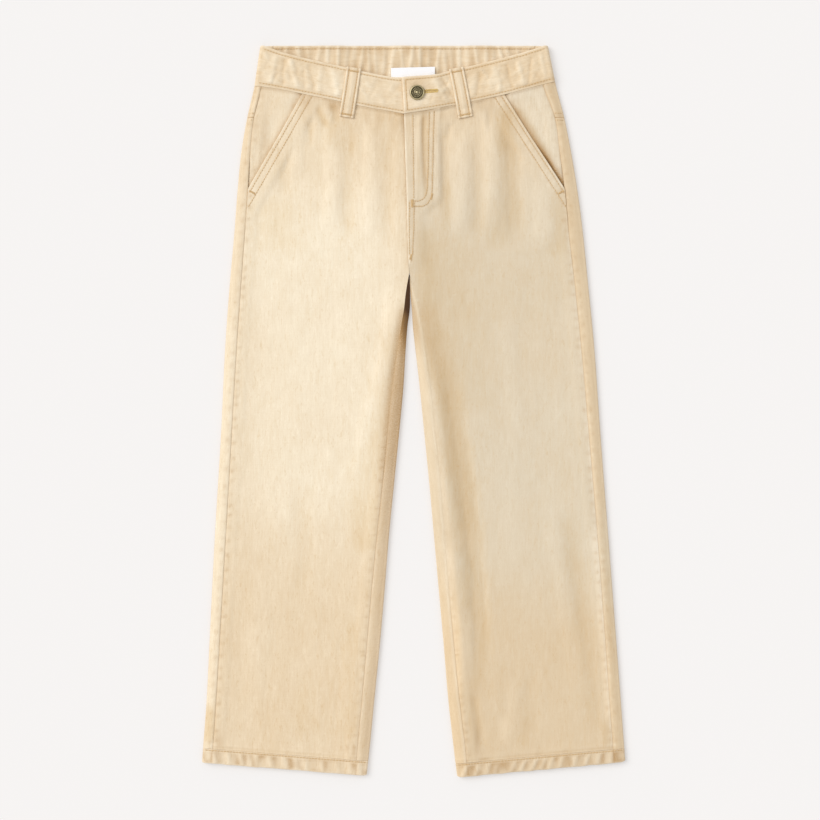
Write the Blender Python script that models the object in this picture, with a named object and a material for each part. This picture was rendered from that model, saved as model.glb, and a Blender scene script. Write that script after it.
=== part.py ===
"""Kids jeans with wide straight legs, buttoned, laid flat with the front up.

Frame: metres, +Z up, the garment lying on z = 0. +Y runs from the hems to the waist, +X to the
wearer's left, and the origin is under the middle of the garment's box. All the sizes below are in
millimetres.

Each cloth piece is a wall: a grid of points on its middle surface, with the direction in which
its outside faces, moved out by half the wall and in by half the wall. The back panels lie on the
surface below, turn up round the folds at both sides of each leg, and end at the side seam and the
inseam, which both show on the front. The front panels lie over them. Neighbouring pieces keep a
seam gap.
"""

import math

import bmesh
import bpy
import numpy as np

MM = 0.001

# ---- cloth ---------------------------------------------------------------------------------
WALL = 1.2            # denim, one layer
BAND_WALL = 2.2       # waistband, two layers with the seam allowances in it
HEM_WALL = 2.0        # hem, three layers pressed flat
LOOP_WALL = 1.4       # belt loop, folded strip
LABEL_WALL = 0.5
GAP = 0.3             # between pieces that are sewn to each other

# ---- heights of the middle surfaces above the ground ----------------------------------------
SEAM_Z = 5.0          # side seam and inseam, the highest line of each leg's edge
FRONT_Z = 4.3         # the middle of a front panel
CROTCH_Z = 3.6        # where the four panels meet
UNDERLAP_Z = 3.4      # the fly underlap, below the left front
FLY_Z = 6.1           # the fly lap, above the zip
WAIST_Z = 5.4         # the front panels just below the waistband
LIP_Z = 5.5           # the pocket opening edge, above the facing
FACING_Z = 3.85       # the pocket facing below that edge
BAND_Z = 6.3          # front waistband
TAB_Z = 8.9           # the buttonhole tab, which lies on the other end of the band
ROLL = 1.6            # radius of the folds at the legs' outer edges
BAND_ROLL = 2.6       # radius of the folds at the band's ends
CROTCH_ROLL = 1.0     # radius of the inner folds where they start

# ---- the outlines --------------------------------------------------------------------------
WAIST_TOP_Y = 373.5   # the back waistband's top edge, straight across
BACK_BAND_LOW_Y = 337.0
YOKE_SIDE_Y = 299.3   # yoke seam at the side seams
YOKE_MIDDLE_Y = 276.0  # and at the centre back
CROTCH_Y = 139.1
CENTRE_BACK_X = -4.4

SIDES = [  # y, right edge, right side seam, left side seam, left edge
    (373.5, -156.0, -149.5, 124.5, 137.2),
    (331.9, -162.7, -155.3, 132.2, 145.5),
    (299.3, -170.1, -163.1, 144.0, 153.9),
    (266.6, -175.7, -166.7, 148.8, 160.4),
    (225.8, -179.8, -169.9, 154.0, 167.2),
    (179.9, -183.3, -173.2, 158.5, 173.1),
    (139.1, -187.0, -176.2, 163.4, 177.2),
    (67.7, -192.3, -181.2, 170.8, 184.2),
    (-19.0, -196.5, -186.3, 178.6, 190.4),
    (-126.1, -202.9, -192.4, 187.6, 198.6),
    (-238.3, -208.6, -198.7, 196.0, 207.2),
    (-294.4, -211.4, -201.5, 199.9, 211.4),
    (-345.4, -215.2, -205.0, 203.6, 215.2),
    (-375.0, -217.2, -206.8, 205.2, 217.4),
]

INNER = [  # y, right inseam, right inner edge, left inner edge, left inseam, inseam height, roll
    (139.1, -7.4, -4.6, -4.2, -1.5, 3.6, 1.0),
    (121.0, -8.9, -4.4, -3.2, 1.6, 4.1, 1.0),
    (103.4, -11.0, -4.7, -1.4, 5.2, 4.6, 1.1),
    (67.7, -16.6, -7.4, 1.8, 11.2, 5.0, 1.4),
    (26.9, -21.9, -10.4, 5.9, 16.9, 5.0, 1.6),
    (-19.0, -26.4, -14.6, 10.5, 21.8, 5.0, 1.6),
    (-70.0, -31.4, -19.7, 15.6, 27.0, 5.0, 1.6),
    (-126.1, -37.6, -25.2, 20.6, 31.4, 5.0, 1.6),
    (-182.2, -43.0, -29.7, 25.6, 36.0, 5.0, 1.6),
    (-238.3, -47.9, -34.6, 30.6, 41.2, 5.0, 1.6),
    (-294.4, -52.9, -40.2, 35.3, 46.8, 5.0, 1.6),
    (-345.4, -57.6, -45.2, 41.0, 53.0, 5.0, 1.6),
    (-375.0, -59.8, -48.4, 44.6, 55.6, 5.0, 1.6),
]

# The rows of the leg panels, and the ends of the legs. A row turns from level at the hip to the
# slope of the hem.
ROWS = (262.0, 245.0, 227.4, 200.0, 178.0, 157.0, 148.0, 139.1, 121.0, 103.4, 67.7, 26.9, -19.0, -70.0,
        -126.1, -182.2, -238.3, -294.4)
HEMS = {  # side: height of the hem seam and of the hem's edge at mid leg, slope of the hem
    "right": (-350.2, -365.2, -0.079),
    "left": (-351.6, -365.7, 0.092),
}
SLOPE_FROM_Y = 60.0

CENTRE_FRONT = [  # y, x of the left front's edge, how far the right front runs on below it
    (340.0, -11.0, 26.0),
    (303.3, -9.9, 26.0),
    (256.4, -8.5, 26.0),
    (222.0, -7.3, 24.0),
    (205.0, -6.8, 8.0),
    (185.0, -6.2, 3.5),
    (165.0, -5.7, -0.3),
    (151.7, -5.3, -0.3),
    (139.1, -4.4, -0.3),
]

POCKETS = {  # side: x and y of the opening's top end, x and y of its bottom end, gape
    "right": (-114.0, 322.2, -168.4, 227.4, 0.0),
    "left": (92.6, 321.6, 153.8, 227.4, 1.4),
}
LIP_WIDTH = 13.0      # the facing runs this far in below the opening's edge
FACING_LOW_Y = 216.0

BAND = {  # from the closure to the fold at the side: x and y of the top edge and of the low edge
    "right": [(-12.0, 340.6, -9.9, 303.3), (-23.2, 341.1, -26.6, 306.3), (-49.7, 346.2, -55.8, 311.7),
              (-70.1, 351.0, -75.2, 316.0), (-110.0, 359.9, -114.2, 323.9),
              (-134.0, 366.3, -139.0, 328.7), (-156.6, 373.0, -162.6, 331.9)],
    "left": [(-12.0, 340.6, -9.9, 303.3), (21.0, 343.2, 25.0, 309.0), (36.0, 347.0, 40.9, 312.2),
             (60.4, 352.7, 66.0, 317.2), (88.0, 359.6, 95.1, 323.6), (112.5, 366.2, 119.6, 330.1),
             (137.0, 373.0, 144.4, 336.3)],
}
UNDERLAP_END_X = 16.0     # the right band ends here, below the tab
TAB_RAMP = (21.0, 36.0)   # the left band comes down from the tab over this stretch
BAND_TURN = 13.0          # the front bands end this far in on the back

FOLDS = [  # side, x and y of the upper end, x and y of the lower end, half width, height
    ("right", -109.9, 300.0, -112.0, 165.0, 9.0, -0.7),
    ("right", -93.6, 300.0, -95.0, 160.0, 8.0, 0.5),
    ("right", -78.3, 300.0, -80.0, 165.0, 8.0, -0.7),
    ("right", -51.8, 296.0, -50.0, 170.0, 10.0, 0.6),
    ("left", 29.8, 300.0, 31.0, 178.0, 7.0, -0.8),
    ("left", 42.1, 298.0, 43.0, 165.0, 7.0, 0.7),
    ("left", 57.4, 300.0, 58.0, 170.0, 8.0, -0.8),
    ("left", 73.7, 298.0, 75.0, 160.0, 8.0, 0.6),
    ("left", 94.1, 300.0, 96.0, 150.0, 10.0, -0.9),
    ("left", 114.5, 280.0, 117.0, 150.0, 11.0, 0.6),
    ("left", 30.0, 30.0, 52.0, -150.0, 12.0, -0.7),
    ("left", 52.0, -150.0, 68.0, -340.0, 10.0, -0.6),
    ("left", 150.0, -210.0, 178.0, -340.0, 11.0, 0.7),
    ("right", -30.0, 60.0, -46.0, -120.0, 12.0, 0.5),
]

# ---- trims ---------------------------------------------------------------------------------
LOOP_WIDTH = 13.6
LOOPS = {  # x and y of the middle of the top end, x and y of the middle of the bottom end
    "loop_front_right": (-60.9, 350.0, -68.8, 300.1),
    "loop_front_left": (43.2, 349.6, 52.8, 299.9),
}
BACK_LOOPS = {  # x of the middle
    "loop_back_right": -84.0,
    "loop_back_middle": -8.0,
    "loop_back_left": 68.0,
}
BACK_LOOP_HEIGHT = 1.3
BUTTON_X, BUTTON_Y = 3.5, 324.5
BUTTON_PROFILE = [  # radius, height above the button's underside
    (5.2, 0.0), (7.3, 0.5), (7.7, 1.3), (7.4, 2.2), (6.6, 2.7), (5.7, 2.5), (5.2, 2.1), (3.4, 2.5),
]
BUTTON_SIDES = 28
LABEL = (-23.2, 21.7, 329.0, 351.6, 4.45)   # x, x, y, y, z of its underside
ZIP = (-4.5, 14.5, 229.0, 299.0, 4.3, 5.2)  # x, x, y, y, z, z

# ---- colours, as seen, and roughness --------------------------------------------------------
COLOURS = {  # red, green, blue, roughness, metallic
    "denim": (231, 210, 178, 0.93, 0.0),
    "denim_light": (240, 226, 200, 0.93, 0.0),
    "band": (232, 214, 182, 0.93, 0.0),
    "brass": (104, 92, 66, 0.42, 0.9),
    "label": (246, 246, 246, 0.7, 0.0),
    "tape": (222, 205, 176, 0.85, 0.0),
}


def smooth(rows, column, key=0):
    """A smooth curve through one column of a table, as a function of its first column."""
    table = sorted((row[key], row[column]) for row in rows)
    at = np.array([row[0] for row in table], float)
    value = np.array([row[1] for row in table], float)
    slope = np.gradient(value, at)

    def curve(where):
        where = float(min(max(where, at[0]), at[-1]))
        i = int(min(max(np.searchsorted(at, where) - 1, 0), len(at) - 2))
        step = at[i + 1] - at[i]
        t = (where - at[i]) / step
        return float(
            (2 * t**3 - 3 * t**2 + 1) * value[i]
            + (t**3 - 2 * t**2 + t) * step * slope[i]
            + (3 * t**2 - 2 * t**3) * value[i + 1]
            + (t**3 - t**2) * step * slope[i + 1]
        )

    return curve


def ease(t):
    """0 below 0, 1 above 1, and a soft step between."""
    t = min(max(t, 0.0), 1.0)
    return t * t * (3 - 2 * t)


def mix(a, b, t):
    return a + (b - a) * t


SIDE_INDEX = {"right": (1, 2), "left": (4, 3)}
INNER_INDEX = {"right": (2, 1), "left": (3, 4)}
EDGE_OUT = {side: smooth(SIDES, SIDE_INDEX[side][0]) for side in ("right", "left")}
SEAM_OUT = {side: smooth(SIDES, SIDE_INDEX[side][1]) for side in ("right", "left")}
EDGE_IN = {side: smooth(INNER, INNER_INDEX[side][0]) for side in ("right", "left")}
SEAM_IN = {side: smooth(INNER, INNER_INDEX[side][1]) for side in ("right", "left")}
INSEAM_Z = smooth(INNER, 5)
INNER_ROLL = smooth(INNER, 6)
FRONT_EDGE = smooth(CENTRE_FRONT, 1)
UNDERLAP = smooth(CENTRE_FRONT, 2)
INWARD = {"right": 1.0, "left": -1.0}   # the way from a leg's outer edge to its inner edge, in x


def band_low(x):
    """Height in y of the front waistband's low edge."""
    side = "right" if x < -10.0 else "left"
    return smooth([(row[2], row[3]) for row in BAND[side]], 1)(x)


def seam_top(side):
    """Height in y at which a side seam meets the waistband."""
    y = BAND[side][-1][3]
    for _ in range(6):
        y = band_low(SEAM_OUT[side](y)) - GAP
    return y


def hem_slope(side, y):
    return HEMS[side][2] * ease((SLOPE_FROM_Y - y) / (SLOPE_FROM_Y - HEMS[side][0]))


class Row:
    """One row across a leg: a straight line at a slope, and where the outlines cross it."""

    def __init__(self, side, y):
        self.side, self.y0 = side, y
        self.slope = hem_slope(side, y)
        self.middle = (EDGE_OUT[side](y) + EDGE_IN[side](y)) / 2
        self.outer = self.cross(EDGE_OUT[side])
        self.side_seam = self.cross(SEAM_OUT[side])
        self.inseam = self.cross(SEAM_IN[side])
        self.inner = self.cross(EDGE_IN[side])

    def y(self, x):
        return self.y0 + self.slope * (x - self.middle)

    def cross(self, line):
        x = line(self.y0)
        for _ in range(4):
            x = line(self.y(x))
        return x


def fold_height(side, x, y):
    """The soft folds of a front panel: ridges above its plain surface and troughs below it."""
    total = 0.0
    for owner, x0, y0, x1, y1, half, height in FOLDS:
        if owner != side:
            continue
        t = (y - y0) / (y1 - y0)
        along = ease((t + 0.15) / 0.3) * ease((1.15 - t) / 0.3)
        centre = mix(x0, x1, min(max(t, 0.0), 1.0))
        total += height * along * math.exp(-(((x - centre) / half) ** 2))
    return total


def lip_distance(side, x, y):
    """How far a point is inside the pocket opening's line."""
    x0, y0, x1, y1, _ = POCKETS[side]
    long = math.hypot(x1 - x0, y1 - y0)
    return INWARD[side] * ((x - x0) * (y0 - y1) + (y - y0) * (x1 - x0)) / long


def front_z(side, x, y):
    """Height of a front panel's middle surface."""
    d = INWARD[side]
    from_side = d * (x - SEAM_OUT[side](y))
    z = FRONT_Z + (SEAM_Z - FRONT_Z) * math.exp(-((from_side / 16.0) ** 2))
    if y <= CROTCH_Y:
        from_inner = d * (SEAM_IN[side](y) - x)
        z += (INSEAM_Z(y) - FRONT_Z) * math.exp(-((from_inner / 14.0) ** 2))
    z += fold_height(side, x, y)
    below = band_low(x) - y
    z = mix(z, WAIST_Z, ease((32.0 - below) / 22.0))
    if y > CROTCH_Y:
        edge = FRONT_EDGE(y)
        if side == "right":
            down = mix(CROTCH_Z, UNDERLAP_Z, ease((y - CROTCH_Y) / 20.0))
            z = mix(z, down, ease((x - (edge - 14.0)) / 13.0))
        else:
            width = mix(9.0, 27.0, ease((y - 196.0) / 22.0))
            lap = mix(5.2, FLY_Z, ease((y - 198.0) / 22.0))
            lap = mix(CROTCH_Z, lap, ease((y - CROTCH_Y) / 20.0))
            z = mix(z, lap, ease((width + 12.0 - (x - edge)) / 12.0))
    inside = lip_distance(side, x, y)
    lip = ease((LIP_WIDTH + 10.0 - inside) / 8.0) * ease((y - 178.0) / 20.0)
    gape = POCKETS[side][4] * math.exp(-(((y - 243.0) / 20.0) ** 2)) * ease((16.0 - inside) / 14.0)
    return mix(z, LIP_Z, lip) + gape


def plane(x, y, z):
    """A middle-surface point that faces up."""
    return (x, y, z, 0.0, 0.0, 1.0)


def back_row(row, y_at=None):
    """One row of a back panel, from the side seam round the fold, along the ground, to the
    centre back seam, or below the crotch round the inner fold to the inseam."""
    side, d, half = row.side, INWARD[row.side], WALL / 2
    below = row.y0 <= CROTCH_Y + 0.01
    width = abs((row.inner if below else CENTRE_BACK_X) - row.outer)
    seam = abs(row.side_seam - row.outer) - GAP / 2
    points = []  # distance in from the outer edge, height, and which way its outside faces
    start = half + ROLL
    for t in (0.0, 0.5):
        points.append((mix(seam, start, t), mix(SEAM_Z, half + 2 * ROLL, t), 0.0, 1.0))
    for turn in range(5):
        a = math.pi * (0.5 + turn / 4)
        points.append((start + ROLL * math.cos(a), half + ROLL + ROLL * math.sin(a), math.cos(a), math.sin(a)))
    if below:
        roll = INNER_ROLL(row.y0)
        end = width - half - roll
        for k in range(1, 7):
            points.append((mix(start, end, k / 7), half, 0.0, -1.0))
        for turn in range(5):
            a = math.pi * (1.5 + turn / 4)
            points.append((end + roll * math.cos(a), half + roll + roll * math.sin(a), math.cos(a), math.sin(a)))
        seam_in = abs(row.inseam - row.outer) + GAP / 2
        for t in (0.5, 1.0):
            points.append((mix(end, seam_in, t), mix(half + 2 * roll, INSEAM_Z(row.y0), t), 0.0, 1.0))
    else:
        last = width - GAP / 2
        tail = mix(5.0, 0.45 * width, ease((row.y0 - 148.0) / 60.0))
        for k in range(1, 8):
            points.append((mix(start, last - tail, k / 7), half, 0.0, -1.0))
        for k in range(1, 7):
            points.append((mix(last - tail, last, k / 6), half, 0.0, -1.0))
    made = []
    for q, z, nq, nz in points:
        x = row.outer + d * q
        y = row.y(x) if y_at is None else y_at(q, z)
        made.append((x, y, z, d * nq, 0.0, nz))
    return made


def yoke_line(side):
    """The yoke seam: level over the side fold, and down to the centre back."""
    reach = abs(CENTRE_BACK_X - EDGE_OUT[side](YOKE_SIDE_Y))
    return lambda q, z: mix(YOKE_SIDE_Y, YOKE_MIDDLE_Y, ease((q - 6.0) / reach) if z < 2.0 else 0.0)


def yoke_top(side):
    """The yoke's upper edge, along the waistband's low edge, front and back."""
    x_top, _, x_fold, y_fold = BAND[side][-1]
    turned = BAND_WALL / 2 + BAND_ROLL
    reach = abs(x_fold - x_top) + BAND_TURN

    def edge(q, z):
        if z < 2.0:
            t = min(max((q - turned) / (reach - turned), 0.0), 1.0)
            return mix(y_fold, BACK_BAND_LOW_Y, t) - 3 * GAP
        return min(y_fold, band_low(x_fold + INWARD[side] * q)) - GAP

    return edge


def wall_object(name, grid, thick, colour, closed=False):
    """A wall through a grid of middle-surface points: its outside, its inside and its rims.
    A closed one joins its last column to its first, and its rims are its two end rows."""
    rows, columns = len(grid), len(grid[0])
    mesh = bmesh.new()
    skins = []
    for way in (0.5, -0.5):
        skin = []
        for row in grid:
            line = []
            for k, (x, y, z, nx, ny, nz) in enumerate(row):
                t = way * (thick if np.isscalar(thick) else thick[k])
                line.append(mesh.verts.new(((x + nx * t) * MM, (y + ny * t) * MM, (z + nz * t) * MM)))
            skin.append(line)
        skins.append(skin)
    outer, inner = skins
    span = columns if closed else columns - 1
    for i in range(rows - 1):
        for j in range(span):
            k = (j + 1) % columns
            mesh.faces.new((outer[i][j], outer[i][k], outer[i + 1][k], outer[i + 1][j]))
            mesh.faces.new((inner[i][j], inner[i + 1][j], inner[i + 1][k], inner[i][k]))
    for j in range(span):
        k = (j + 1) % columns
        mesh.faces.new((outer[0][k], outer[0][j], inner[0][j], inner[0][k]))
        mesh.faces.new((outer[-1][j], outer[-1][k], inner[-1][k], inner[-1][j]))
    if not closed:
        for i in range(rows - 1):
            mesh.faces.new((outer[i][0], outer[i + 1][0], inner[i + 1][0], inner[i][0]))
            mesh.faces.new((outer[i + 1][-1], outer[i][-1], inner[i][-1], inner[i + 1][-1]))
    return finish(name, mesh, colour)


def finish(name, mesh, colour, sharp=35.0):
    bmesh.ops.recalc_face_normals(mesh, faces=mesh.faces)
    data = bpy.data.meshes.new(name)
    mesh.to_mesh(data)
    mesh.free()
    data.shade_smooth()
    data.set_sharp_from_angle(angle=math.radians(sharp))
    data.materials.append(material(name, colour))
    made = bpy.data.objects.new(name, data)
    bpy.context.scene.collection.objects.link(made)
    return made


def linear(value):
    value /= 255.0
    return value / 12.92 if value <= 0.04045 else ((value + 0.055) / 1.055) ** 2.4


def material(name, colour):
    red, green, blue, rough, metal = COLOURS[colour]
    made = bpy.data.materials.new(name + "_finish")
    made.use_nodes = True
    shader = made.node_tree.nodes["Principled BSDF"]
    shader.inputs["Base Color"].default_value = (linear(red), linear(green), linear(blue), 1.0)
    shader.inputs["Roughness"].default_value = rough
    shader.inputs["Metallic"].default_value = metal
    return made


# ---- legs ----------------------------------------------------------------------------------
def make_back(side):
    line = yoke_line(side)
    first = Row(side, YOKE_SIDE_Y - GAP)
    grid = [back_row(first, lambda q, z: line(q, z) - GAP)]
    for y in ROWS:
        grid.append(back_row(Row(side, y)))
    grid.append(back_row(Row(side, HEMS[side][0] + GAP)))
    return wall_object("back_" + side, grid, WALL, "denim")


def make_yoke(side):
    top, low = yoke_top(side), yoke_line(side)
    grid = []
    for t in (0.0, 0.5, 1.0):
        row = Row(side, mix(BAND[side][-1][3], YOKE_SIDE_Y, t))
        row.side_seam = SEAM_OUT[side](mix(seam_top(side), YOKE_SIDE_Y, t))
        grid.append(back_row(row, lambda q, z, t=t: mix(top(q, z), low(q, z), t)))
    return wall_object("yoke_" + side, grid, WALL, "denim")


def front_bounds(side, y, row):
    """Where a front panel starts and ends on a row: pocket opening or side seam, and centre
    front or inseam."""
    d = INWARD[side]
    x0, y0, x1, y1, _ = POCKETS[side]
    if y > y1:
        start = mix(x1, x0, (y - y1) / (y0 - y1))
    else:
        start = row.side_seam + d * GAP / 2
    if y > CROTCH_Y:
        end = FRONT_EDGE(y)
        if side == "right":
            end += UNDERLAP(y)
        corner = ease((y - CROTCH_Y - 2.0) / 14.0)
        end = mix(SEAM_IN[side](CROTCH_Y) - d * GAP / 2, end, corner)
    else:
        end = row.inseam - d * GAP / 2
    return start, end


def make_front(side):
    columns = 15
    top_start = POCKETS[side][0]
    top_end = FRONT_EDGE(303.0) + (UNDERLAP(303.0) if side == "right" else 0.0)
    grid = []
    top_rows = (0.0, 0.45)
    for t in top_rows:   # the upper rows turn from the waistband's curve to level
        row = []
        low = 286.0
        x0, y0, x1, y1, _ = POCKETS[side]
        for k in range(columns + 1):
            u = k / columns
            start_low, end_low = front_bounds(side, low, None)
            x_top, x_low = mix(top_start, top_end, u), mix(start_low, end_low, u)
            y_top = band_low(x_top) - GAP
            x, y = mix(x_top, x_low, t), mix(y_top, low, t)
            row.append(plane(x, y, front_z(side, x, y)))
        grid.append(row)
    for y in (286.0,) + ROWS + (HEMS[side][0] + GAP,):
        line = Row(side, y)
        start, end = front_bounds(side, y, line)
        row = []
        for k in range(columns + 1):
            x = mix(start, end, k / columns)
            at = line.y(x) if y <= CROTCH_Y else y
            row.append(plane(x, at, front_z(side, x, at)))
        grid.append(row)
    return wall_object("front_" + side, grid, WALL, "denim_light" if side == "right" else "denim")


def make_facing(side):
    d = INWARD[side]
    x0, y0, x1, y1, _ = POCKETS[side]
    grid = []
    for y in (None, mix(seam_top(side), YOKE_SIDE_Y, 0.5), YOKE_SIDE_Y, 262.0, 245.0, 227.4, FACING_LOW_Y):
        at = y if y is not None else band_low(x0)
        opening = mix(x1, x0, (at - y1) / (y0 - y1))
        seam = SEAM_OUT[side](at if y is not None else seam_top(side))
        start, end = seam + d * GAP / 2, opening + d * LIP_WIDTH
        row = []
        for k in range(8):
            x = mix(start, end, k / 7)
            yy = at if y is not None else band_low(x) - GAP
            out = -lip_distance(side, x, yy)   # how far outside the opening's line
            z = mix(FACING_Z, SEAM_Z - 0.2, ease((out - 6.0) / 14.0))
            row.append(plane(x, yy, z))
        grid.append(row)
    return wall_object("pocket_facing_" + side, grid, WALL, "denim_light")


def make_hem(side):
    """The turned-up hem: a flat closed band round the leg's end, its low edge rounded."""
    top_y, low_y, _ = HEMS[side]
    d = INWARD[side]
    grid = []
    for at, pinch in ((top_y, 0.15), (mix(top_y, low_y, 0.45), 0.0), (mix(top_y, low_y, 0.86), 0.0), (low_y, 0.5)):
        row = Row(side, at)
        row.slope = HEMS[side][2]
        for name, line in (("outer", EDGE_OUT), ("side_seam", SEAM_OUT), ("inseam", SEAM_IN), ("inner", EDGE_IN)):
            setattr(row, name, row.cross(line[side]))
        half, roll = HEM_WALL / 2, 1.5
        width = abs(row.inner - row.outer)
        points = []
        for turn in range(5):
            a = math.pi * (0.5 + turn / 4)
            points.append((half + roll + roll * math.cos(a), half + roll + roll * math.sin(a), math.cos(a), math.sin(a)))
        for k in range(1, 6):
            points.append((mix(half + roll, width - half - roll, k / 6), half, 0.0, -1.0))
        for turn in range(5):
            a = math.pi * (1.5 + turn / 4)
            points.append((width - half - roll + roll * math.cos(a), half + roll + roll * math.sin(a), math.cos(a), math.sin(a)))
        seam_in, seam_out = abs(row.inseam - row.outer), abs(row.side_seam - row.outer)
        for q, z in ((seam_in, 4.9), (seam_in - 12.0, 4.5), (mix(seam_in, seam_out, 0.3), 4.3),
                     (mix(seam_in, seam_out, 0.5), 4.4), (mix(seam_in, seam_out, 0.7), 4.3),
                     (seam_out + 12.0, 4.5), (seam_out, 4.9)):
            points.append((q, z, 0.0, 1.0))
        line = []
        for q, z, nq, nz in points:
            x = row.outer + d * q
            if nz > 0.5:
                z -= pinch / 2
            line.append((x, row.y(x), z, d * nq, 0.0, nz))
        grid.append(line)
    return wall_object("hem_" + side, grid, HEM_WALL, "denim", closed=True)


# ---- waist ---------------------------------------------------------------------------------
def make_front_band(side):
    """A front band: from its end at the closure, out to the fold, and round it on to the back."""
    d = -INWARD[side]
    table = BAND[side]
    count = 2 * (len(table) - 1)
    spans = [float(k) for k in range(len(table))]
    curves = [smooth([(k, row[c]) for k, row in zip(spans, table)], 1) for c in range(4)]
    turn_in = BAND_WALL / 2 + BAND_ROLL
    columns = []   # x and y of the top edge, x and y of the low edge, height, facing
    if side == "right":
        for x in (UNDERLAP_END_X, 3.0):
            low = band_low(x + 1.5)
            columns.append((x, smooth([(r[0], r[1]) for r in BAND["left"]], 1)(x) - 0.6, x + 1.5, low + 0.6, BAND_Z, 0.0, 1.0))
    for k in range(count + 1):
        s = (len(table) - 1) * k / count
        xt, yt, xl, yl = (curve(s) for curve in curves)
        if k == count:
            xt, xl = xt - d * turn_in, xl - d * turn_in
        z = BAND_Z
        if side == "left":
            z = mix(TAB_Z, BAND_Z, ease((xt - TAB_RAMP[0]) / (TAB_RAMP[1] - TAB_RAMP[0])))
        columns.append((xt, yt, xl, yl, z, 0.0, 1.0))
    xt, yt, xl, yl = table[-1]
    for turn in range(1, 5):
        a = math.pi * (0.5 - turn / 4)
        shift = -turn_in + BAND_ROLL * math.cos(a)
        z = BAND_WALL / 2 + BAND_ROLL + BAND_ROLL * math.sin(a)
        columns.append((xt + d * shift, yt, xl + d * shift, yl, z, math.cos(a), math.sin(a)))
    columns.append((xt - d * BAND_TURN, WAIST_TOP_Y, xt - d * BAND_TURN, BACK_BAND_LOW_Y, BAND_WALL / 2, 0.0, -1.0))
    grid = []
    for t in (0.0, 0.5, 1.0):
        grid.append([(mix(xt, xl, t), mix(yt, yl, t), z, d * nx, 0.0, nz) for xt, yt, xl, yl, z, nx, nz in columns])
    return wall_object("waistband_front_" + side, grid, BAND_WALL, "band")


def make_back_band():
    """The elastic back band: flat below, gathered into soft puckers on its inside, and lifted
    where the belt loops lie below it."""
    left = BAND["right"][-1][0] + BAND_TURN + GAP
    right = BAND["left"][-1][0] - BAND_TURN - GAP
    xs = set(np.linspace(left, right, 37).round(2))
    for x in BACK_LOOPS.values():
        xs = {v for v in xs if min(abs(v - x - k) for k in (-20, -8, 8, 20)) > 2.5} | {x - 20, x - 8, x + 8, x + 20}
    grid = []
    for t in (0.0, 0.5, 1.0):
        line = []
        for k, x in enumerate(sorted(xs)):
            lift = max(ease((20.0 - abs(x - middle)) / 12.0) for middle in BACK_LOOPS.values())
            pucker = 0.35 * (-1) ** k * (1.0 - lift) * ease(min(x - left, right - x) / 10.0)
            thick = BAND_WALL + pucker
            z = lift * (BACK_LOOP_HEIGHT + GAP)
            line.append((x, mix(WAIST_TOP_Y, BACK_BAND_LOW_Y, t), z, thick))
        grid.append(line)
    walls = [row[3] for row in grid[0]]
    points = [[(x, y, z + thick / 2, 0.0, 0.0, 1.0) for x, y, z, thick in row] for row in grid]
    return wall_object("waistband_back", points, walls, "band")


def make_front_loop(name):
    """A belt loop: over the band from its top edge, down on to the front below it."""
    xt, yt, xb, yb = LOOPS[name]
    side = "right" if xt < 0 else "left"
    long = math.hypot(xb - xt, yb - yt)
    ax, ay = (xb - xt) / long, (yb - yt) / long        # along the loop, downwards
    low = band_low(xb)
    over = BAND_Z + BAND_WALL / 2 + GAP
    below = WAIST_Z + WALL / 2 + GAP + 0.15
    step = (low + 0.3 - yt) / ay
    grid = []
    for s, z in ((0.0, over), (step * 0.33, over + 0.3), (step * 0.66, over + 0.3), (step, over),
                 (step + 1.4, over),
                 (step + 4.2, over - 0.55), (step + 7.0, below), (long - 3.0, below), (long, below)):
        row = []
        for u in (-1.0, -0.62, 0.0, 0.62, 1.0):
            w = u * LOOP_WIDTH / 2
            x, y = xt + ax * s - ay * w, yt + ay * s + ax * w
            row.append(plane(x, y, z + LOOP_WALL / 2))
        grid.append(row)
    ridge = [LOOP_WALL - 0.3, LOOP_WALL + 0.2, LOOP_WALL - 0.2, LOOP_WALL + 0.2, LOOP_WALL - 0.3]
    for row in grid:
        for k, (x, y, z, nx, ny, nz) in enumerate(row):
            row[k] = (x, y, z - LOOP_WALL / 2 + ridge[k] / 2, nx, ny, nz)
    return wall_object(name, grid, ridge, "band")


def make_back_loop(name):
    x = BACK_LOOPS[name]
    half = BACK_LOOP_HEIGHT / 2
    grid = [[(x + u * LOOP_WIDTH / 2, y, half, 0.0, 0.0, -1.0) for u in (-1.0, -0.6, 0.6, 1.0)]
            for y in (WAIST_TOP_Y - 0.6, mix(WAIST_TOP_Y, BACK_BAND_LOW_Y, 0.5), BACK_BAND_LOW_Y + 0.6)]
    return wall_object(name, grid, BACK_LOOP_HEIGHT, "band")


def make_slab(name, x0, x1, y0, y1, z0, z1, colour, across=4, along=2):
    grid = [[plane(mix(x0, x1, i / across), mix(y1, y0, j / along), (z0 + z1) / 2) for i in range(across + 1)]
            for j in range(along + 1)]
    return wall_object(name, grid, z1 - z0, colour)


def make_button():
    """The button: a turned cap with a rounded rim and a shallow dish."""
    mesh = bmesh.new()
    rings = []
    for radius, height in BUTTON_PROFILE:
        rings.append([
            mesh.verts.new((
                radius * math.cos(2 * math.pi * k / BUTTON_SIDES) * MM,
                radius * math.sin(2 * math.pi * k / BUTTON_SIDES) * MM,
                height * MM,
            ))
            for k in range(BUTTON_SIDES)
        ])
    for low, high in zip(rings, rings[1:]):
        for k in range(BUTTON_SIDES):
            j = (k + 1) % BUTTON_SIDES
            mesh.faces.new((low[k], low[j], high[j], high[k]))
    mesh.faces.new(list(reversed(rings[0])))
    mesh.faces.new(rings[-1])
    made = finish("button", mesh, "brass", sharp=50.0)
    made.location = (BUTTON_X * MM, BUTTON_Y * MM, (TAB_Z + BAND_WALL / 2 + GAP) * MM)
    return made


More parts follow.
